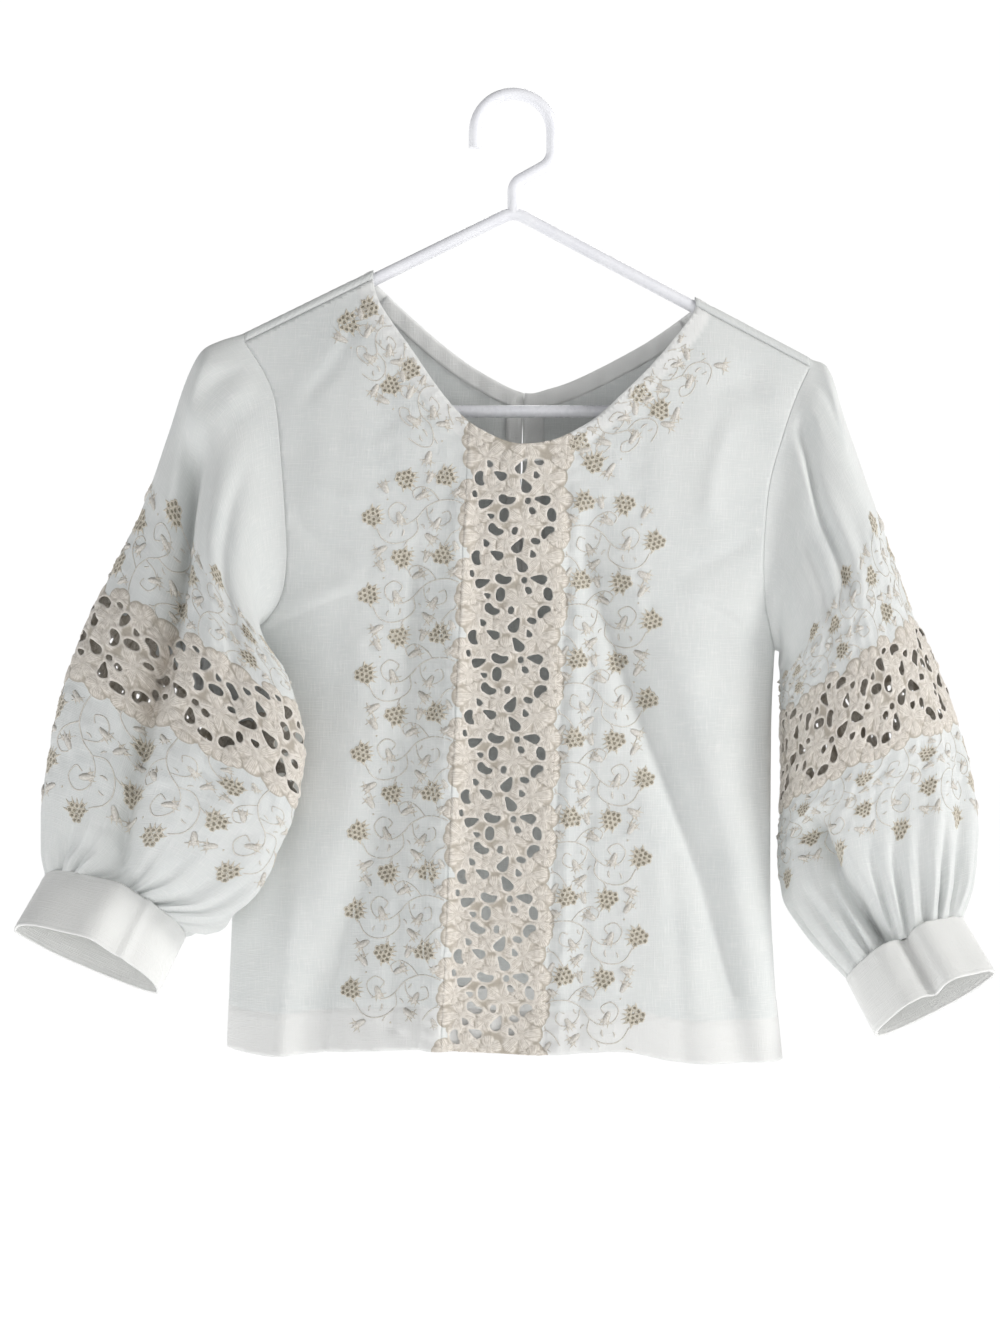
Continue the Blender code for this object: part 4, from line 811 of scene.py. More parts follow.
def weaveGroup():  # one unit of the cut's map is 100 mm
    group, start, end = newGroup(
        "plain weave with slubs", [("Vector", "NodeSocketVector", None),
                                   ("Thread Spacing", "NodeSocketFloat", 0.008)],
        [("Height", "NodeSocketFloat"), ("Slub", "NodeSocketFloat")])
    split = group.nodes.new("ShaderNodeSeparateXYZ")
    group.links.new(start.outputs["Vector"], split.inputs[0])
    waves = [waveNode(group, mathNode(group, "DIVIDE", split.outputs[axis], start.outputs["Thread Spacing"]))
             for axis in (0, 1)]
    slubs = [mapNode(group, noiseNode(group, start.outputs["Vector"], 1.0, 2.0, stretch), 0.45, 0.75)
             for stretch in ((9, 120, 1), (130, 8, 1))]
    slub = mathNode(group, "ADD", *slubs)
    woven = mathNode(group, "MULTIPLY", mathNode(group, "ADD", *waves), 0.16)
    group.links.new(sumNode(group, woven, slub, 0.8), end.inputs["Height"])
    group.links.new(mathNode(group, "MULTIPLY", slub, 0.5), end.inputs["Slub"])
    return group


def threadGroup():  # satin stitches that lie side by side along a direction
    group, start, end = newGroup(
        "satin stitch", [("Across Threads", "NodeSocketFloat", 0.0), ("Vector", "NodeSocketVector", None)],
        [("Height", "NodeSocketFloat"), ("Shade", "NodeSocketFloat")])
    wobble, fine = (noiseNode(group, start.outputs["Vector"], scale) for scale in (16.0, 45.0))
    wave = waveNode(group, sumNode(group, mathNode(group, "DIVIDE", start.outputs["Across Threads"], 1.7),
                                   wobble, 0.9))
    for label, share in (("Height", 0.4), ("Shade", 0.16)):
        group.links.new(sumNode(group, fine, wave, share), end.inputs[label])
    return group


weave, satin = weaveGroup(), threadGroup()


def placedGroup(tree, group, **inputs):
    node = tree.nodes.new("ShaderNodeGroup")
    node.node_tree = group
    for label, value in inputs.items():
        feed(tree, node.inputs[label.replace("_", " ")], value)
    return node


def newMaterial(name, roughness, **constants):
    material = bpy.data.materials.new(name)
    material.use_nodes = True
    shader = material.node_tree.nodes["Principled BSDF"]
    shader.inputs["Roughness"].default_value = roughness
    for label, value in constants.items():
        shader.inputs[label.replace("_", " ")].default_value = value
    return material, material.node_tree, shader


clothLook = {"white": (0.725, 0.745, 0.735, 1), "slub": (0.80, 0.81, 0.80, 1), "shade": (0.63, 0.66, 0.66, 1),
             "doubled": (0.87, 0.87, 0.855, 1), "roughness": 0.86, "spacing": 0.0085}
# deep is the thread colour darkened with painted shade, laid in the grooves between the petals
threadLook = {"deep": (0.43, 0.385, 0.32, 1), "mid": (0.59, 0.54, 0.475, 1), "light": (0.80, 0.75, 0.685, 1),
              "roughness": 0.62}


def clothMaterial(name, stitched=False, doubled=False, glow=0.28):
    material, tree, shader = newMaterial(name, clothLook["roughness"], Sheen_Weight=0.15, Sheen_Roughness=0.5,
                                         Subsurface_Weight=glow, Subsurface_Scale=0.0015,
                                         Subsurface_Radius=(1, 1, 1))
    uv = tree.nodes.new("ShaderNodeUVMap")
    uv.uv_map = "cut"
    woven = placedGroup(tree, weave, Vector=uv.outputs[0], Thread_Spacing=clothLook["spacing"])
    mottle = noiseNode(tree, uv.outputs[0], 2.2, 3.0)
    colour = mixColour(tree, mapNode(tree, mottle, 0.35, 0.75, 0.0, 0.5), clothLook["white"],
                       clothLook["shade"])
    colour = mixColour(tree, woven.outputs["Slub"], colour, clothLook["slub"])
    if doubled:
        colour = mixColour(tree, 0.8, colour, clothLook["doubled"])
    height = woven.outputs["Height"]
    if stitched:
        margin, relief = attributeNode(tree, "stitched"), attributeNode(tree, "relief")
        rim = mapNode(tree, attributeNode(tree, "opening"), 0.5, 1.9, 0.8, 0.0)
        thread = placedGroup(tree, satin, Across_Threads=attributeNode(tree, "thread"), Vector=uv.outputs[0])
        shade = mapNode(tree, thread.outputs["Shade"], 0.3, 0.7)
        ecru = mixColour(tree, shade, threadLook["mid"], threadLook["light"])
        # painted shade: the thread turns to its deep colour where the relief is low, in the grooves between
        # the petals
        ecru = mixColour(tree, mapNode(tree, relief, 0.02, 0.55, 0.85, 0.0), ecru, threadLook["deep"])
        # painted highlight: the thread is lighter on the raised rim of stitches round each opening
        ecru = mixColour(tree, rim, ecru, threadLook["light"])
        colour = mixColour(tree, attributeNode(tree, "doubled"), colour, clothLook["doubled"])
        covered = mapNode(tree, margin, -0.3, 0.3)
        colour = mixColour(tree, covered, colour, ecru)
        height = mathNode(tree, "ADD", height, mathNode(tree, "MULTIPLY", covered, thread.outputs["Height"]))
        roughness = mapNode(tree, margin, -0.3, 0.3, clothLook["roughness"], threadLook["roughness"])
        tree.links.new(roughness, shader.inputs["Roughness"])
    tree.links.new(colour, shader.inputs["Base Color"])
    bumped(tree, shader, height, 0.35, 0.0004)
    return material


doubledCloth = clothMaterial("doubled white cloth", doubled=True)
stitchedCloth = clothMaterial("white cloth with cutwork", True)
backCloth = clothMaterial("white cloth of the back", True, glow=0.05)
print("finishes ready")


# fronts, cutwork band and back

band = {"middle": 1.0, "from": 181, "lean": 0.0455, "lap": 0.8, "step": 1.15, "top": 142, "bottom": 535}
neck, hem, backNeck = (roundedLine(body[name], 8) for name in ("frontNeck", "frontHem", "backNeck"))


def bandEdge(side, drop):
    return band["middle"] - (drop - band["from"]) * band["lean"] + side * cutwork["halfWidth"]


def bandMiddle(drop):
    return acrossOf((bandEdge(-1, drop) + bandEdge(1, drop)) / 2, drop)


def bandLine(side, start, end, inset):
    return [(bandEdge(side, d) + inset, d) for d in np.linspace(start, end, 60)]


def seamLine(side, top, bottom, gap=0.05):
    return [(side * (float(bodyWidth(d)[1]) - gap), float(d)) for d in np.linspace(top, bottom, 60)]


def between(a, b, count=24):
    return [tuple(p + (q - p) * t for p, q in zip(a, b)) for t in np.linspace(0, 1, count)]


def joinedLines(*lines):  # one flat line, each part going on from the last point of the one before
    return [*flatLine(lines[0]), *[p for line in lines[1:] for p in flatLine(line)[1:]]]


def hemFold(name, node, inset, step, line, place, lift, face):  # turned up inside a panel
    line = sorted(line)
    xs, rows = gridLines(line[0][0] + inset, line[-1][0] - inset, step), 13

    def spot(column, row):
        edge = readLine(line, 0, xs[column])
        return xs[column], edge - 0.6 - (body["hemDepth"] - 0.6) * (1 - row / (rows - 1))

    return hang(name, clothGrid(len(xs), rows, spot), place, doubledCloth, node, 0.4, lift, face=face)


def stitchedEdge(away, width, dip, wide, rise):  # a line of stitches and the raised edge outside it
    return rise * ramp(away, width, width - 2) - dip * dent(away - width, wide)


def doubledPart(away, above):
    rim, fold = body["facingWidth"], body["hemDepth"]
    return 0.75 * np.maximum(ramp(away, rim + 0.8, rim - 0.8), ramp(above, fold + 0.6, fold - 0.6))


top = partOfLine(neck, *(bandEdge(side, band["top"]) + side * band["lap"] for side in (-1, 1)))
low = partOfLine(hem, *(bandEdge(side, band["bottom"]) + side * band["lap"] for side in (-1, 1)))
left, right = (bandLine(side, top[end][1], low[end][1], side * band["lap"]) for side,
               end in ((-1, 0), (1, -1)))
bandStart = top[0][1] + cutwork["firstBelowNeck"]
hemFlat, lowFlat = flatLine(hem), flatLine(low)


def fromEdges(across, drop):  # distance from the neck and height above the hem
    return offLine(xOf(across, drop), drop, neck)[0], np.interp(across, *zip(*hemFlat)) - drop


def frontRelief(across, drop):
    away, above = fromEdges(across, drop)
    middle = np.abs(across - bandMiddle(drop))
    petal, margin, _ = flowerField(across - bandMiddle(drop), drop - bandStart)
    inBand = ramp(np.maximum(margin, cutwork["stitchedTo"] - middle), -0.5, 1.5)
    fromBand = middle - cutwork["halfWidth"]
    pucker = 0.35 * ramp(fromBand, 16, 2) * np.sin(drop * 0.55 + 2 * np.sin(drop * 0.11) + fromBand * 0.3)
    pucker = pucker + 0.4 * ripples(across, drop, 43, 13, 1.6) * ramp(fromBand, 66, 48)
    pulls = 0.45 * ramp(away, 14, 3) * np.sin(away * 0.4 + (across * 0.9 + drop * 0.7) * 0.9)
    edges = stitchedEdge(above, body["hemDepth"], 0.5, 1.2, 0.25)
    edges = edges + stitchedEdge(away, body["facingWidth"], 0.4, 1.4, 0.3) + pulls
    return (edges + pucker) * (1 - inBand) + cutwork["petalRise"] * petal * inBand


frontOutlines = {}
for side, name in ((-1, "front_left"), (1, "front_right")):
    outer, inner = (0, -1) if side < 0 else (-1, 0)
    start = readLine(neck, 0, bandEdge(side, band["top"]))
    end = readLine(hem, 0, bandEdge(side, band["bottom"]))
    edge = bandLine(side, start, end, side * body["seamGap"])
    throat = partOfLine(neck, *sorted((neck[outer][0], edge[0][0])))
    throat[inner] = edge[0]
    arm = movedIn(armholeSeam(side), side * body["seamGap"])
    throat[outer] = (throat[outer][0], float(armDrop(throat[outer][0])) + body["seamGap"])
    arm[0] = (arm[0][0], float(armDrop(arm[0][0])) + body["seamGap"])
    bottom = partOfLine(hem, *sorted((hem[outer][0], edge[-1][0])))
    bottom[inner] = edge[-1]
    armFlat, bottomFlat, shoulder = flatLine(arm), flatLine(bottom), flatLine(between(throat[outer], arm[0]))
    seam = seamLine(side, armFlat[-1][1], bottom[outer][1])
    bottomFlat[outer] = seam[-1]
    if side < 0:
        throat = throat[::-1]
    else:
        bottomFlat = bottomFlat[::-1]
    outline = [*flatLine(edge)[::-1], *flatLine(throat), *shoulder, *armFlat, *seam[1:], *bottomFlat]
    frontOutlines[name] = outline
    corners = [outline[0], outline[len(edge)], shoulder[0], armFlat[0], seam[0], seam[-1]]
    x, y = zip(*outline)
    fine = [float(acrossOf(bandEdge(side, drop) + side * beside, drop))
            for drop, beside in ((band["top"], 9), (band["bottom"], -1))]
    xs = gradedLines((min(x), *sorted(fine), max(x)), (2.2, 1.3, 2.2))
    cloth = cutPanel(xs, gridLines(min(y), max(y), 1.9), outline, corners=corners)
    flat = flatOf(cloth)
    petal, margin, thread = flowerField(flat[:, 0] - bandMiddle(flat[:, 1]), flat[:, 1] - bandStart)
    hang(name + "_cloth", cloth, frontPlace, stitchedCloth, name, lift=frontRelief(*flat.T), face=-1,
         fields={"relief": petal, "stitched": margin, "thread": thread,
                 "opening": np.full(len(flat), cutwork["bare"]), "doubled": doubledPart(*fromEdges(*flat.T))})
    hemFold(name + "_turned_hem", name + "_hem_fold", 0.8, 3.0, bottomFlat, frontPlace, -1.0, -1)

outline = [*joinedLines(top, right, low[::-1]), *flatLine(left)[::-1][1:-1]]
openings = []
for k in range(-1, int((low[0][1] - bandStart) / cutwork["repeat"]) + 1):
    drop = bandStart + cutwork["repeat"] * k
    for opening in cutwork["openings"]:
        loop = openingLoop(opening, float(bandMiddle(drop + opening[1])), drop)
        deepest, highest = max(p[1] for p in loop), min(p[1] for p in loop)
        if deepest < low[0][1] - 3 and highest > max(readLine(top, 0, p[0]) for p in loop) + 5:
            openings.append(loop)
x, y = zip(*outline)
cloth = cutPanel(gridLines(min(x), max(x), band["step"]), gridLines(min(y), max(y), band["step"]), outline,
                 openings, flatLine([top[0], top[-1], low[0], low[-1]]))
flat = flatOf(cloth)
fromMiddle = flat[:, 0] - bandMiddle(flat[:, 1])
petal, margin, thread = flowerField(fromMiddle, flat[:, 1] - bandStart)
away = openingDistance(flat, openings)
inside = ramp(cutwork["halfWidth"] + band["lap"] - np.abs(fromMiddle), 0, 6)
lift = 0.06 + 0.2 * inside + frontRelief(*flat.T) + rimLift(away)
hang("front_cutwork_cloth", cloth, frontPlace, stitchedCloth, "front_cutwork_band", lift=lift, face=-1,
     fields={"relief": petal, "thread": thread, "opening": away,
                               "stitched": np.maximum(margin, cutwork["stitchedTo"] - np.abs(fromMiddle))})
hemFold("front_band_turned_hem", "front_band_hem_fold", 1.5, 3.0, lowFlat, frontPlace, -1.2, -1)
print("fronts and cutwork band ready:", len(openings), "openings")

wrap = body["overArm"] * math.pi - 0.2
arms = {side: movedIn(armholeSeam(side), side * body["seamGap"]) for side in (-1, 1)}


def overArm(point):  # where the shoulder seam lies, before the arm, above a point of the back's edge
    return point[0], float(armDrop(point[0])) - wrap


tips = {side: overArm(arms[side][0]) for side in (-1, 1)}
throats = {-1: overArm(backNeck[0]), 1: overArm(backNeck[-1])}
seams = {side: seamLine(side, flatLine(arms[side])[-1][1], 532) for side in (-1, 1)}
backHem = between(seams[-1][-1], (0, 530), 20)[:-1] + between((0, 530), seams[1][-1], 20)
outline = [*joinedLines(between(throats[-1], backNeck[0], 8), backNeck, between(backNeck[-1], throats[1], 8),
                        between(throats[1], tips[1]), between(tips[1], arms[1][0], 8), arms[1]),
           *seams[1][1:], *backHem[::-1][1:], *seams[-1][::-1][1:],
           *joinedLines(arms[-1][::-1], between(arms[-1][0], tips[-1], 8),
                        between(tips[-1], throats[-1]))[1:-1]]
corners = flatLine([*(backNeck[end] for end in (0, -1)), *throats.values(), *tips.values(),
                    *(arm[0] for arm in arms.values())])
corners += [seam[end] for seam in seams.values() for end in (0, -1)]
x, y = zip(*outline)
slitAcross = float(acrossOf(body["slitX"], 160))
cloth = cutPanel(gridLines(min(x), max(x), 2.7, (slitAcross,)), gridLines(min(y), max(y), 2.7), outline,
                 corners=corners)
slitTop = readLine(backNeck, 0, body["slitX"])
slitEnd = slitTop + body["slitDepth"]
cut = [e for e in cloth.edges if all(abs(v.co.x - slitAcross) < 0.3 and v.co.y < slitEnd for v in e.verts)]
for v in {v for e in cut for v in e.verts}:
    v.co.x = slitAcross
bmesh.ops.split_edges(cloth, edges=cut)
for v in cloth.verts:
    if abs(v.co.x - slitAcross) < 0.01 and v.co.y < slitEnd + 3 and v.link_faces:
        centre = sum(f.calc_center_median().x for f in v.link_faces) / len(v.link_faces)
        gap = 0.5 * body["slitWidth"] * max(0.0, 1 - (v.co.y - slitTop) / body["slitDepth"])
        v.co.x += gap if centre > slitAcross else -gap
flat = flatOf(cloth)
fromHem = np.array([readLine(backHem, 0, p) for p in flat[:, 0]]) - flat[:, 1]
fromNeck = offLine(xOf(*flat.T), flat[:, 1], backNeck)[0]
fromSlit = np.abs(flat[:, 0] - slitAcross) + 100 * (flat[:, 1] > slitEnd + 4)
relief = (stitchedEdge(fromHem, body["hemDepth"], 0.45, 1.3, 0.25)
          + stitchedEdge(fromNeck, body["facingWidth"], 0.4, 1.5,
                         0.3) + stitchedEdge(fromSlit, 6, 0.35, 1.4, 0.25))
doubled = np.maximum(doubledPart(fromNeck, fromHem), 0.75 * ramp(fromSlit, 6.5, 5.5))
hang("back_cloth", cloth, backPlace, backCloth, "back", lift=relief,
     fields={"stitched": np.full(len(flat), -9.0), "opening": np.full(len(flat), cutwork["bare"]),
             "doubled": doubled})
hemFold("back_turned_hem", "back_hem_fold", 0.8, 3.5, backHem, backPlace, -1.0, 1)
print("back ready")


# facings inside the neck and behind the slit

facingCut = {"step": 2.5, "rows": 7, "thick": 0.4, "lift": -1.05, "ruffle": 0.25, "ease": 1.02}


def facing(name, upper, lower, place, face):
    lower = [lower[round(k * (len(lower) - 1) / (len(upper) - 1))] for k in range(len(upper))]

    def spot(column, row):
        x, drop = (a + (b - a) * row / (facingCut["rows"] - 1) for a, b in zip(upper[column], lower[column]))
        return float(acrossOf(x, drop)), drop

    cloth = clothGrid(len(upper), facingCut["rows"], spot)
    ruffle = facingCut["ruffle"] * np.sin(flatOf(cloth)[:, 0] * 0.5)
    run = sum(math.dist(a, b) for a, b in zip(upper, upper[1:])) * facingCut["ease"]
    deep = float(np.mean([math.dist(a, b) for a, b in zip(upper, lower)])) * facingCut["ease"]
    hang(name + "_cloth", cloth, place, doubledCloth, name, facingCut["thick"], facingCut["lift"] + ruffle,
         face=face, cut=(run, deep))


def neckFacing(name, line, start, end, place, face):
    line = spacedLine(partOfLine(line, start, end), facingCut["step"])
    facing(name, line, movedIn(line, body["facingWidth"]), place, face)


neckFacing("front_neck_facing", neck, -84, 112, frontPlace, -1)
neckFacing("back_neck_facing_left", backNeck, -82, body["slitX"] - 1.8, backPlace, 1)
neckFacing("back_neck_facing_right", backNeck, body["slitX"] + 1.8, 108, backPlace, 1)
slitLow = slitTop + body["facingWidth"] + 1
for name, a, b in (("left", -10.5, -0.6), ("right", 0.6, 14.5)):
    upper, lower = (spacedLine([(body["slitX"] + x, drop) for x in (a, b)], facingCut["step"])
                    for drop in (slitLow, slitEnd + 6))
    facing("slit_facing_" + name, upper, lower, backPlace, 1)
print("facings ready")


# sleeves

girth, length = sleeveCut["girth"], sleeveCut["length"]
bandCentre = (sleeveCut["bandTop"] + sleeveCut["bandEnd"]) / 2 * length
bandWide = (sleeveCut["bandEnd"] - sleeveCut["bandTop"]) * length / (2 * cutwork["halfWidth"])
cell = girth / sleeveCut["repeats"]
# start round the sleeve, grid step, size of the openings: smaller behind, so that less light falls through
sleeveHalves = {"front": (0.0, 1.4, 1.0), "back": (0.5, 2.0, 0.5)}


def onSleeve(sleeve):
    return lambda across, down, lift: sleevePlace(sleeve, across, down, lift)


def sleevePucker(across, down):  # the embroidery draws the cloth up on both sides of the band
    fromBand = np.abs(down - bandCentre) - 29
    return 0.5 * ripples(across, down, 41, 12) * ramp(fromBand, -1, 3) * ramp(fromBand, 66, 50)


for sleeve, label in ((leftSleeve, "left"), (rightSleeve, "right")):
    for half, (first, step, smaller) in sleeveHalves.items():
        start, end = first * girth + sleeveCut["seamGap"], (first + 0.5) * girth - sleeveCut["seamGap"]
        openings = [openingLoop((across, along, long * smaller, wide * smaller, turn, shape), bandCentre,
                                first * girth + cell * k, bandWide, cell / cutwork["repeat"], swap=True)
                    for k in range(sleeveCut["repeats"] // 2)
                    for across, along, long, wide, turn, shape in cutwork["openings"]]
        openings = [loop for loop in openings if start + 1 < min(loop)[0] and max(loop)[0] < end - 1]
        ys = gradedLines((0, bandCentre - 29, bandCentre + 29, length - 0.1), (2.4, step * 0.92, 2.2))
        cloth = cutPanel(gridLines(start, end, step), ys, None, openings)
        flat = flatOf(cloth)
        away = openingDistance(flat, openings)
        offBand = (flat[:, 1] - bandCentre) / bandWide
        petal, margin, thread = flowerField(offBand, (flat[:, 0] - first * girth) * cutwork["repeat"] / cell)
        margin = np.maximum(margin, cutwork["stitchedTo"] - np.abs(offBand))
        petal = petal * ramp(margin, -0.5, 1.5)
        onBand = ramp(np.abs(offBand), 37, 35)
        margin = np.where(onBand > 0.5, margin, -3.0)
        lift = cutwork["petalRise"] * petal * onBand + rimLift(away) + sleevePucker(*flat.T)
        hang(f"sleeve_{label}_{half}_cloth", cloth, onSleeve(sleeve), stitchedCloth, f"sleeve_{label}_{half}",
             lift=lift, face=sleeve["side"], taken=sleeve["taken"][half],
             fields={"relief": petal, "stitched": margin, "thread": thread, "opening": away})
print("sleeves ready")


# cuffs: doubled bands, creased where they fold

cuffCut = {"round": 200, "height": 42.0, "start": -1.4, "thick": 1.6, "flare": 0.02, "step": 1.25,
           "rowStep": 1.2}
# place round the cuff, width and depth of each crease
leftSleeve["creases"] = [(0.25, 0.05, 6.0), (0.335, 0.012, 1.6)]
rightSleeve["creases"] = [(0.17, 0.05, 5.0), (0.24, 0.024, -7.5), (0.33, 0.05, 4.0)]


def cuffSurface(sleeve, around, down):
    place, _ = sleeveRing(sleeve, around % 1.0, np.ones(np.shape(around)))
    places, ways = sleeveRing(sleeve, np.array([0.0, 0.25, 0.5]), np.ones(3))  # top, before and underarm
    forward = ways[1]
    axis = unit(np.cross(places[2] - places[0], forward))
    axis = axis if axis[2] < 0 else -axis
    bulge = sum(depth * dent(around % 1.0 - at, width) for at, width, depth in sleeve["creases"])
    bulge = bulge + 0.5 * ripples(around * cuffCut["round"], down, 51, 40) * ramp(down, 2, 12)
    shut = (places[0] + places[2]) / 2
    place = shut + (place - shut) * (1 + cuffCut["flare"] * down / cuffCut["height"])[..., None]
    return place + forward * bulge[..., None] + axis * down[..., None]


def onCuff(sleeve):
    def place(around, down, lift):
        around, down = np.asarray(around) / cuffCut["round"], np.asarray(down, float)
        here = cuffSurface(sleeve, around, down)
        side = cuffSurface(sleeve, around + 0.002, down) - here
        below = cuffSurface(sleeve, around, down + 0.5) - here
        return here + unit(np.cross(side, below)) * sleeve["side"] * np.reshape(lift, (-1, 1))

    return place


for sleeve, label in ((leftSleeve, "left"), (rightSleeve, "right")):
    xs = gridLines(0, cuffCut["round"], cuffCut["step"])
    ys = gridLines(cuffCut["start"], cuffCut["height"] - 0.3, cuffCut["rowStep"])
    cloth = cutPanel(xs, ys)
    flat = flatOf(cloth)
    fromEdge = np.minimum(flat[:, 1] - ys[0], ys[-1] - flat[:, 1])
    relief = cuffCut["thick"] / 2 - 0.7 * ramp(fromEdge, 1.6, 0) ** 2 - 0.3 * dent(fromEdge - 2.6, 0.7)
    relief += 0.2 * ramp(flat[:, 1], 8, 1) * np.sin(flat[:, 0] * 0.65)
    cuff = hang(f"cuff_{label}_cloth", cloth, onCuff(sleeve), doubledCloth, f"cuff_{label}",
                thick=cuffCut["thick"], lift=relief, face=sleeve["side"])
    closedUp(cuff.data, 0.02 * mm, rimOnly=True, outward=False)
print("cuffs ready")


# embroidery: vines, buds, leaves and eyelet berries in rows beside the bands and along the neck

spray = {
    "repeat": 49.7, "vine": 0.42, "petal": 1.2, "ring": 1.5, "wire": 0.5, "hollow": 1.25, "pitch": 3.15,
    "bud": 5.6, "leaf": (4.6, 0.75), "dot": (1.2, 0.65), "spike": 0.85,
    # each place is away from the edge it grows from and along it
    "vines": [
        [(-2, 19), (8, 15), (17, 15), (25, 19), (31, 26), (38, 30), (46, 28), (49, 21), (44, 16), (38, 19),
         (40, 23)],
        [(17, 15), (22, 9), (29, 6), (34, 9), (33, 13)],
        [(25, 19), (23, 27), (16, 31), (10, 28), (11, 22), (15, 23)],
        [(31, 26), (30, 34), (36, 40), (45, 42), (52, 39), (56, 32)],
        [(-2, 37), (4, 34), (9, 37), (13, 43)],
        [(36, 40), (38, 44)],
    ],
    # away, along, turn, size
    "buds": [(32, 14, 210, 1.5), (43, 22, 110, 1.45), (16, 26, 60, 1.35), (25, 36, 140, 1.45),
             (49, 44, 30, 1.5), (7, 41, 120, 1.1), (25, 4, 250, 1.3), (50, 10, 300, 1.4), (4, 8, 40, 1.1)],
    "leaves": [(8, 12, 250, 1.0), (21, 20, 60, 0.8), (39, 33, 80, 1.0), (47, 38, 250, 0.8),
               (28, 30, 130, 0.8), (3, 31, 60, 0.8)],
    "dots": [(25, -3), (50, 14), (5, 8), (33, 45), (20, 38)],
    "berries": [(14.5, 0, 20), (40, 1, -15), (60, 25, 10)],
    # turn, bend and thickness of a bud's strands
    "strands": [(-38, 2.4, 0.42), (38, -2.4, 0.42), (0, 0, 1.2), (-13, 0.7, 0.7), (13, -0.7, 0.7)],
    # place, turn and length of the pointed leaves round a berry
    "points": [(-1.4, -1.4, -128, 3.6), (-0.7, -1.7, -106, 4.0), (0, -1.8, -90, 3.6), (0.7, -1.7, -74, 4.0),
               (1.4, -1.4, -52, 3.6), (-1.9, -0.4, -165, 2.6), (1.9, -0.4, -15, 2.6)],
    "berryRows": (3, 4, 3, 2),
}


def turned(x, y, turn, u, w):  # a place u ahead and w aside of x, y
    c, s = math.cos(math.radians(turn)), math.sin(math.radians(turn))
    return x + u * c - w * s, y + u * s + w * c


def stroke(x, y, turn, length, radius, bend=0.0, steps=5):  # tapered at both ends
    t = np.linspace(0, 1, steps)
    points = list(zip(*turned(x, y, turn, length * t, bend * np.sin(math.pi * t))))
    return points, False, radius * (0.22 + 0.78 * np.sin(math.pi * np.clip(t * 0.9 + 0.06, 0, 1)) ** 0.7)


def spike(x, y, turn, length, radius):  # wide where it starts and pointed at its tip
    t = np.linspace(0, 1, 4)
    return list(zip(*turned(x, y, turn, length * t, 0))), False, radius * (1.02 - t) ** 0.8


def budStrokes(x, y, turn, size):
    pale = [stroke(x, y, turn + a, spray["bud"] * size, r * spray["petal"] * size, b * size)
            for a, b, r in spray["strands"]]
    deep = [spike(*turned(x, y, turn, 3.6 * size, 1.3 * k * size), turn + k * 12, 3.4 * size, 0.42 * size)
            for k in (-1, 0, 1)]
    return pale, deep


def berryStrokes(x, y, turn):  # rings round eyelets, in a berry with pointed leaves about it
    random = np.random.default_rng(int(abs(x) * 7 + abs(y) * 13))
    rows, pitch = spray["berryRows"], spray["pitch"]
    places = [(k - (count - 1) / 2, (row - 1.6) * 0.9) for row, count in enumerate(rows)
              for k in range(count)]
    places = [(u + random.uniform(-0.1, 0.1), w + random.uniform(-0.1, 0.1)) for u, w in places]
    spots = [turned(x, y, turn, u * pitch, w * pitch) for u, w in places]
    strokes = []
    for a, b in spots:
        radius = spray["ring"] * random.uniform(0.92, 1.12)
        ring = [(a + radius * math.cos(t), b + radius * math.sin(t))
                for t in np.linspace(0, 2 * math.pi, 7)[:-1]]
        strokes.append((ring, True, [spray["wire"]] * 6))
    for u, w, a, reach in spray["points"]:
        lean = random.uniform(-8, 8)
        strokes.append(spike(*turned(x, y, turn, u * pitch, w * pitch), turn + a + lean, reach,
                             spray["spike"]))
    return strokes, spots


def sprayStrokes(way, shift=0.0, kinds=(0, 1, 2), size=1.0):  # way turns away and along into a flat place
    pale, deep, spots = [], [], []

    def placed(strokes):
        return [([way(a, b) for a, b in points], closed, radii) for points, closed, radii in strokes]

    for line in spray["vines"]:
        line = roundedLine([(a * size, b + shift) for a, b in line], 4)
        pale += placed([(line, False, [spray["vine"]] * len(line))])
    for a, b, turn, scale in spray["buds"]:
        light, dark = budStrokes(a * size, b + shift, turn, scale)
        pale += placed(light)
        deep += placed(dark)
    for a, b, turn, scale in spray["leaves"]:
        long, wide = spray["leaf"]
        pale += placed([stroke(a * size, b + shift, turn, long * scale, wide * scale, 0.6)])
    for a, b in spray["dots"]:
        deep += placed([stroke(a * size - 0.6, b + shift, 0, *spray["dot"], steps=3)])
    for k in kinds:
        a, b, turn = spray["berries"][k]
        strokes, found = berryStrokes(a * size, b + shift, turn - 90)
        deep += placed(strokes)
        spots += [way(*spot) for spot in found]
    return pale, deep, spots


def bakedMesh(obj):
    bpy.context.view_layer.update()
    return bpy.data.meshes.new_from_object(obj.evaluated_get(bpy.context.evaluated_depsgraph_get()))


def strandMesh(name, strokes, radius, sides):  # each stroke is its points, if it is closed, and its thickness
    curve = bpy.data.curves.new(name, "CURVE")
    curve.dimensions, curve.use_fill_caps = "3D", True
    curve.bevel_depth, curve.bevel_resolution = radius, sides
    for points, closed, radii in strokes:
        spline = curve.splines.new("POLY")
        spline.points.add(len(points) - 1)
        spline.points.foreach_set("co", np.array([(*p, 1) for p in points], np.float32).ravel())
        spline.points.foreach_set("radius", np.asarray(radii, np.float32))
        spline.use_cyclic_u = closed
    holder = linked(name, curve)
    mesh = bakedMesh(holder)
    bpy.data.objects.remove(holder)
    bpy.data.curves.remove(curve)
    mesh.name = name
    return mesh


def settled(name, mesh, place, material, relief, height, low):  # from the flat onto the hung cloth
    co = np.empty(len(mesh.vertices) * 3, np.float32)
    mesh.vertices.foreach_get("co", co)
    co = co.reshape(-1, 3).astype(float)
    co = place(co[:, 0], co[:, 1], low + height * co[:, 2] + relief(co[:, 0], co[:, 1])) * mm
    mesh.vertices.foreach_set("co", co.astype(np.float32).ravel())
    closedUp(mesh)
    slotted(linked(name, mesh), material)


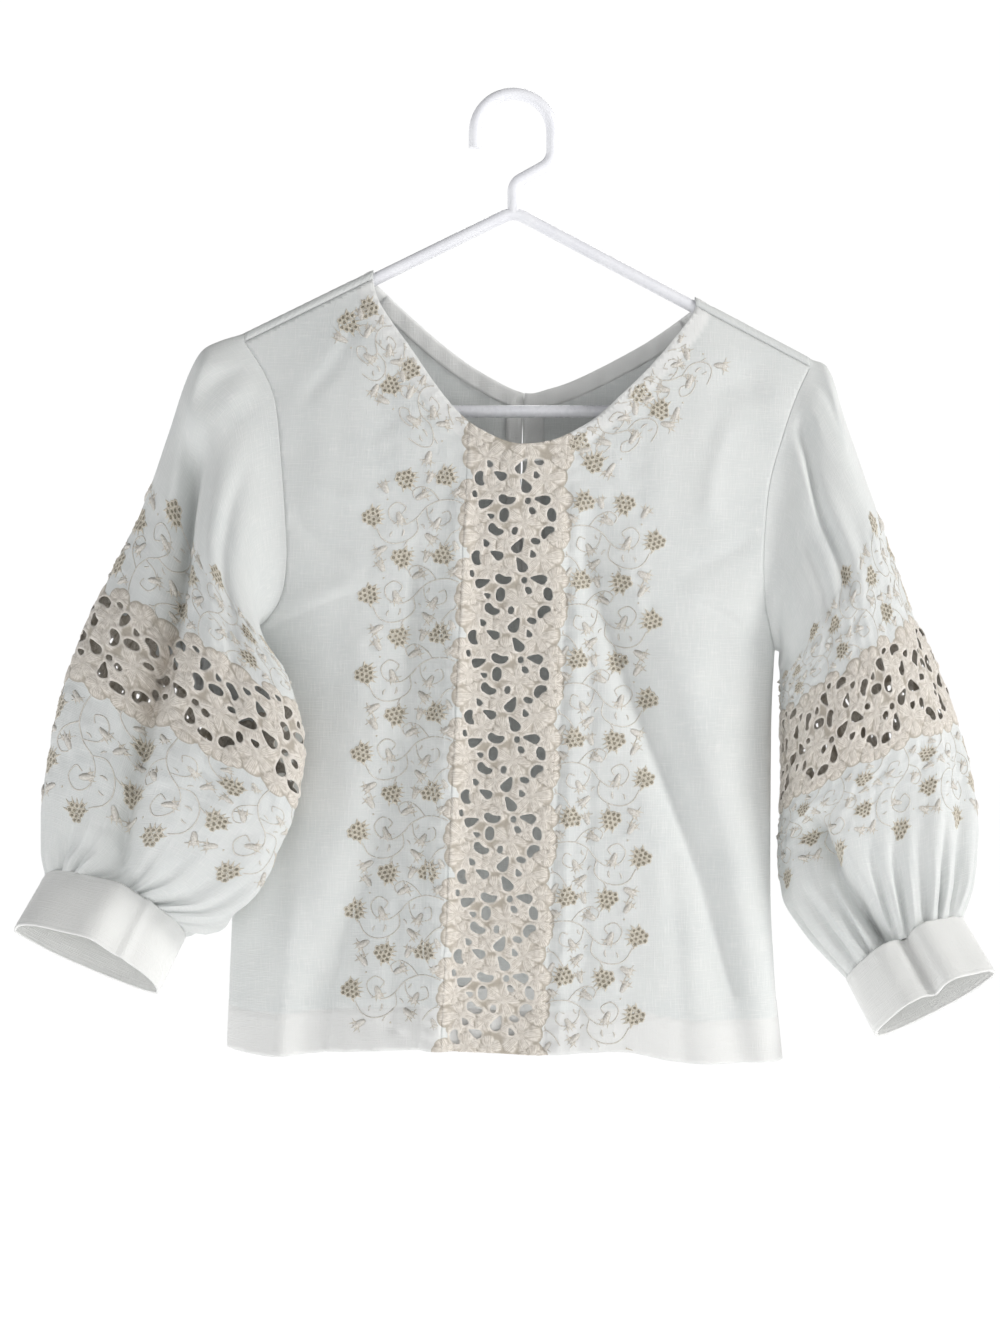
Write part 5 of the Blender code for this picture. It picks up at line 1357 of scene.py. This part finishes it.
def sew(name, strokes, place, material, relief, height=0.62):
    strokes = [([(a, b, 0) for a, b in points], closed, radii) for points, closed, radii in strokes]
    settled(name, strandMesh(name, strokes, 1.0, 0), place, material, relief, height, 0.06)


# each eyelet is a flat dark disc of painted shade laid on the cloth where a hole would show shade; it is not
# an opening
def eyelets(name, spots, place, material, relief):
    made, random = bmesh.new(), np.random.default_rng(len(spots))
    for a, b in spots:
        ring = bmesh.ops.create_circle(made, cap_ends=True, segments=6, radius=spray["hollow"])["verts"]
        bmesh.ops.rotate(made, verts=ring, matrix=Matrix.Rotation(random.uniform(0, 1), 3, "Z"))
        for v, reach in zip(ring, random.uniform(0.68, 1.22, 6)):
            v.co = v.co * reach + Vector((a, b, 0))
    settled(name, meshOf(name, made), place, material, relief, 1.0, 0.13)


def threadMaterial(name, dark, light, roughness=0.6):
    material, tree, shader = newMaterial(name, roughness, Sheen_Weight=0.2)
    place = objectPlace(tree)
    strand, patch = noiseNode(tree, place, 900.0), noiseNode(tree, place, 60.0)
    colour = mixColour(tree, mapNode(tree, strand, 0.3, 0.7), dark, light)
    colour = mixColour(tree, mapNode(tree, patch, 0.35, 0.7, 0.0, 0.35), colour, light)
    tree.links.new(colour, shader.inputs["Base Color"])
    bumped(tree, shader, strand, 0.4, 0.0002)
    return material


paleThread = threadMaterial("pale embroidery thread", (0.54, 0.51, 0.46, 1), (0.74, 0.715, 0.67, 1))
deepThread = threadMaterial("ecru embroidery thread", (0.50, 0.455, 0.375, 1), (0.75, 0.70, 0.61, 1))
hollow = threadMaterial("shade in the eyelets", (0.19, 0.17, 0.125, 1), (0.34, 0.31, 0.245, 1), 0.9)


def clearOf(outline, points):
    a, b = np.array(points, float).reshape(-1, 2).T
    return insideLoop(a, b, outline) & (nearestOn(a, b, outline)[0] > 1.2)


def keptWithin(outline, strokes):  # each stroke's longest run inside the panel
    clear = clearOf(outline, [point for points, _, _ in strokes for point in points])
    kept, first = [], 0
    for points, closed, radii in strokes:
        good = clear[first:first + len(points)]
        first += len(points)
        stops = [-1, *np.flatnonzero(~good).tolist(), len(points)]
        start, end = max(zip(stops, stops[1:]), key=lambda run: run[1] - run[0])
        if good.all():
            kept.append((points, closed, radii))
        elif not closed and end - start > 9:
            kept.append((points[start + 1:end], False, radii[start + 1:end]))
    return kept


def embroider(name, groups, place, relief, outline=None):
    pale, deep, spots = ([item for group in groups for item in group[k]] for k in range(3))
    if outline:
        pale, deep = keptWithin(outline, pale), keptWithin(outline, deep)
        spots = [spot for spot, clear in zip(spots, clearOf(outline, spots)) if clear]
    sew(name + "_vines", pale, place, paleThread, relief)
    sew(name + "_berries", deep, place, deepThread, relief, 0.75)
    eyelets(name + "_eyelets", spots, place, hollow, relief)


def besideBand(side):
    return lambda away, along: (float(acrossOf(bandEdge(side, along) + side * away, along)), along)


def besideNeck(line):
    def way(away, along):
        k = int(np.clip(round(along), 1, len(line) - 2))
        (x0, y0), (x1, y1) = line[k - 1], line[k + 1]
        run = math.dist((x0, y0), (x1, y1))
        x, y = line[k][0] - (y1 - y0) / run * away, line[k][1] + (x1 - x0) / run * away
        x, y = x + (along - k) * (x1 - x0) / run, y + (along - k) * (y1 - y0) / run
        return float(acrossOf(x, y)), y

    return way


def besideSleeveBand(start, edge, side):
    return lambda away, along: (start + (along + 8) * cell / spray["repeat"], edge * length + side * away)


# where the rows begin, and the stretch of the neck that carries sprays
for side, name, first, low, high in ((-1, "front_left", 173, -87, -30), (1, "front_right", 189, 36, 114)):
    groups = [sprayStrokes(besideBand(side), first + spray["repeat"] * k) for k in range(7)]
    line = [p for p in neck[::side] if low < p[0] < high]
    way = besideNeck(spacedLine(line, 1.0)[::side])
    groups += [sprayStrokes(way, shift, (0, 1), 0.62) for shift in (2, 50)]
    embroider(name, groups, frontPlace, frontRelief, frontOutlines[name])

for sleeve, label in ((leftSleeve, "left"), (rightSleeve, "right")):
    for half, (first, _, _) in sleeveHalves.items():
        groups = []
        for k in range(sleeveCut["repeats"] // 2):
            start = first * girth + cell * k
            groups += [sprayStrokes(besideSleeveBand(start, sleeveCut["bandTop"], -1)),
                       sprayStrokes(besideSleeveBand(start, sleeveCut["bandEnd"], 1), size=1.15)]
        embroider(f"sleeve_{label}_{half}", groups, onSleeve(sleeve), sleevePucker)
print("embroidery ready")


# hanger: sloping arms and a bar in one bent tube, and a hook over the apex

hanger = {"radius": 4.0, "halfSpan": 192.0, "barDrop": 128.0, "barInset": 6, "sides": 7, "sharpFrom": 50,
          "bends": {"apex": 14, "arm": 11, "neck": 9, "hook": 25.0}, "hookStart": 42, "hookRise": 77}
plasticLook = {"shade": (0.86, 0.865, 0.91, 1), "white": (0.90, 0.905, 0.94, 1)}


def bentLine(corners, closed):
    made = []
    for k, (x, z, bend) in enumerate(corners):
        here = Vector((x, z))
        if not closed and k in (0, len(corners) - 1):
            made.append(here)
            continue
        before = Vector(corners[k - 1][:2]) - here
        after = Vector(corners[(k + 1) % len(corners)][:2]) - here
        half = before.angle(after) / 2
        centre = here + (before.normalized() + after.normalized()).normalized() * bend / math.sin(half)
        ray = here + before.normalized() * bend / math.tan(half) - centre
        end = here + after.normalized() * bend / math.tan(half) - centre
        sweep = ray.angle_signed(end)
        for turn in np.linspace(0, -sweep, max(6, round(abs(sweep) / 0.12))):
            made.append(Vector(turned(*centre, math.degrees(turn), *ray)))
    return made


def tube(name, points, closed, radius, sides):
    mesh = strandMesh(name, [(points, closed, np.ones(len(points)))], radius, sides)
    closedUp(mesh, radius * 0.02)
    return linked(name, mesh)


def hangerTube(name, corners, closed):
    points = [(p.x * mm, 0, (p.y - body["hookRise"]) * mm) for p in bentLine(corners, closed)]
    return tube(name, points, closed, hanger["radius"] * mm, hanger["sides"])


span, bar, bends = hanger["halfSpan"], -hanger["barDrop"], hanger["bends"]
inner, arm, turn = span - hanger["barInset"], bends["arm"], bends["hook"]
frameCorners = [(0, -body["apexDrop"], bends["apex"]), (span, -float(armDrop(span)), arm), (inner, bar, arm),
                (-inner, bar, arm), (-span, -float(armDrop(-span)), arm)]
hookCorners = [(0, 0, 0), (0, 19, bends["neck"]), (turn, 33, 12), (turn, hanger["hookRise"], turn),
               (-turn, hanger["hookRise"], turn), (-turn, hanger["hookStart"], 0)]
bentTube, hook = hangerTube("hanger_tube", frameCorners, True), hangerTube("hanger_hook", hookCorners, False)
joined = bentTube.modifiers.new("hook", "BOOLEAN")
joined.operation, joined.solver, joined.object = "UNION", "EXACT", hook
whole = bakedMesh(bentTube)
bentTube.modifiers.clear()
bentTube.data = whole
bpy.data.objects.remove(hook)
whole.shade_smooth()
whole.set_sharp_from_angle(angle=math.radians(hanger["sharpFrom"]))

plastic, tree, shader = newMaterial("white plastic", 0.26, Coat_Weight=0.25, Coat_Roughness=0.2, IOR=1.5)
place = objectPlace(tree)
haze = mapNode(tree, noiseNode(tree, place, 60.0, 3.0), 0.35, 0.7)
handled = mapNode(tree, noiseNode(tree, place, 240.0, 4.0), 0.3, 0.7, 0.22, 0.36)
tree.links.new(mixColour(tree, haze, plasticLook["shade"], plasticLook["white"]), shader.inputs["Base Color"])
tree.links.new(handled, shader.inputs["Roughness"])
bumped(tree, shader, noiseNode(tree, place, 90.0), 0.04, 0.0004)
slotted(bentTube, plastic, "hanger")
print("hanger ready")


# button outside the back of the neck, with its thread loop

button = {
    "beside": 8.0, "below": 8.0, "lift": 2.1, "segments": 40,
    "profile": [(0, 0.9), (2.6, 0.9), (3.4, 1.15), (4.6, 1.2), (5.3, 0.9), (5.5, 0.2), (5.3, -0.7),
                (4.4, -1.2), (0, -1.2)],
    "shade": (0.80, 0.77, 0.70, 1), "pearl": (0.90, 0.89, 0.86, 1),
}
threadLoop = {"round": 6.6, "start": -4.5, "apart": 1.6, "lift": 0.9, "radius": 0.6,
              "deep": (0.70, 0.67, 0.60, 1), "light": (0.86, 0.84, 0.78, 1)}
buttonX = body["slitX"] + button["beside"]
buttonDrop = readLine(backNeck, 0, buttonX) + button["below"]
seat = backPlace(np.array([float(acrossOf(buttonX, buttonDrop))]), np.array([buttonDrop]), 0)[0]
disc = bmesh.new()
spots = [disc.verts.new((r, 0, h)) for r, h in button["profile"]]
for a, b in zip(spots, spots[1:]):
    disc.edges.new((a, b))
bmesh.ops.spin(disc, geom=disc.verts[:] + disc.edges[:], cent=(0, 0, 0), axis=(0, 0, 1), angle=2 * math.pi,
               steps=button["segments"], use_merge=True)
bmesh.ops.remove_doubles(disc, verts=disc.verts, dist=0.01)
for v in disc.verts:
    v.co = Vector((seat[0] + v.co.x, seat[1] + button["lift"] + v.co.z, seat[2] + v.co.y)) * mm
mesh = meshOf("back_button_disc", disc)
closedUp(mesh)
pearl, tree, shader = newMaterial("pearl button", 0.3, Coat_Weight=0.3)
lustre = noiseNode(tree, objectPlace(tree), 300.0, 3.0, (1, 1, 2.5))
tree.links.new(mixColour(tree, lustre, button["shade"], button["pearl"]), shader.inputs["Base Color"])
slotted(linked("back_button_disc", mesh), pearl, "back_button")

cord, tree, shader = newMaterial("twisted thread", 0.7)
twist = noiseNode(tree, objectPlace(tree), 1500.0)
tree.links.new(mixColour(tree, twist, threadLoop["deep"], threadLoop["light"]), shader.inputs["Base Color"])
ends = [(body["slitX"] + threadLoop["start"], buttonDrop + apart * threadLoop["apart"]) for apart in (-1, 1)]
around = [(buttonX + threadLoop["round"] * math.cos(t), buttonDrop - threadLoop["round"] * math.sin(t))
          for t in np.radians(np.linspace(150, -150, 25))]
loop = roundedLine([ends[0], *around, ends[1]], 3)
spots = backPlace(np.array([p[0] for p in flatLine(loop)]), np.array([p[1] for p in loop]),
                  np.full(len(loop), threadLoop["lift"])) * mm
tie = tube("back_button_thread_loop", spots, False, threadLoop["radius"] * mm, 2)
slotted(tie, cord, "back_button_loop")
print("button ready")


# room, light and camera

room = {"floor": 0.86, "glow": 0.82, "low": -1.6, "size": 6}
camera = {"place": (-0.0088, -1.672, -0.3655), "lens": 70, "sensor": 36, "near": 0.05}

floorMaterial, tree, shader = newMaterial("pale floor", 0.9, Emission_Strength=room["glow"])
shader.inputs["Base Color"].default_value = (room["floor"], room["floor"], room["floor"], 1)
shader.inputs["Emission Color"].default_value = (1, 1, 1, 1)
ground = bmesh.new()
bmesh.ops.create_grid(ground, x_segments=2, y_segments=2, size=room["size"])
bmesh.ops.translate(ground, verts=ground.verts, vec=(0, 0, room["low"]))
floor = linked("floor", meshOf("floor", ground))
floor.data.materials.append(floorMaterial)

world = bpy.data.worlds.new("studio")
bpy.context.scene.world = world
world.use_nodes = True
tree = world.node_tree  # bright at eye level all round, softer above and below
split = tree.nodes.new("ShaderNodeSeparateXYZ")
tree.links.new(tree.nodes.new("ShaderNodeTexCoord").outputs["Generated"], split.inputs[0])
height = mathNode(tree, "ABSOLUTE", split.outputs[2])
tree.links.new(mapNode(tree, height, 0.25, 0.48, 1.02, 0.10), tree.nodes["Background"].inputs["Strength"])
tree.nodes["Background"].inputs["Color"].default_value = (1, 1, 1, 1)
bpy.context.scene.view_settings.view_transform = "Standard"


def softLight(name, place, aim, size, power, colour=(1, 1, 1)):
    lamp = bpy.data.lights.new(name, "AREA")
    lamp.shape, lamp.size, lamp.energy, lamp.color = "DISK", size, power, colour
    obj = linked(name, lamp)
    obj.location = place
    obj.rotation_euler = (Vector(aim) - Vector(place)).to_track_quat("-Z", "Y").to_euler()


softLight("key", (2.2, -0.8, 0.9), (0, 0, -0.35), 0.75, 34, (1.0, 0.99, 0.97))
softLight("side", (-1.9, -0.8, 0.2), (0, 0, -0.4), 0.9, 2.0, (0.95, 0.975, 1.0))
softLight("back", (0.2, 1.9, 1.0), (0, 0, -0.4), 1.2, 10)

lens = bpy.data.cameras.new("camera")
lens.lens, lens.sensor_width, lens.clip_start = camera["lens"], camera["sensor"], camera["near"]
viewer = linked("camera", lens)
viewer.location, viewer.rotation_euler = camera["place"], (math.pi / 2, 0, 0)
bpy.context.scene.camera = viewer
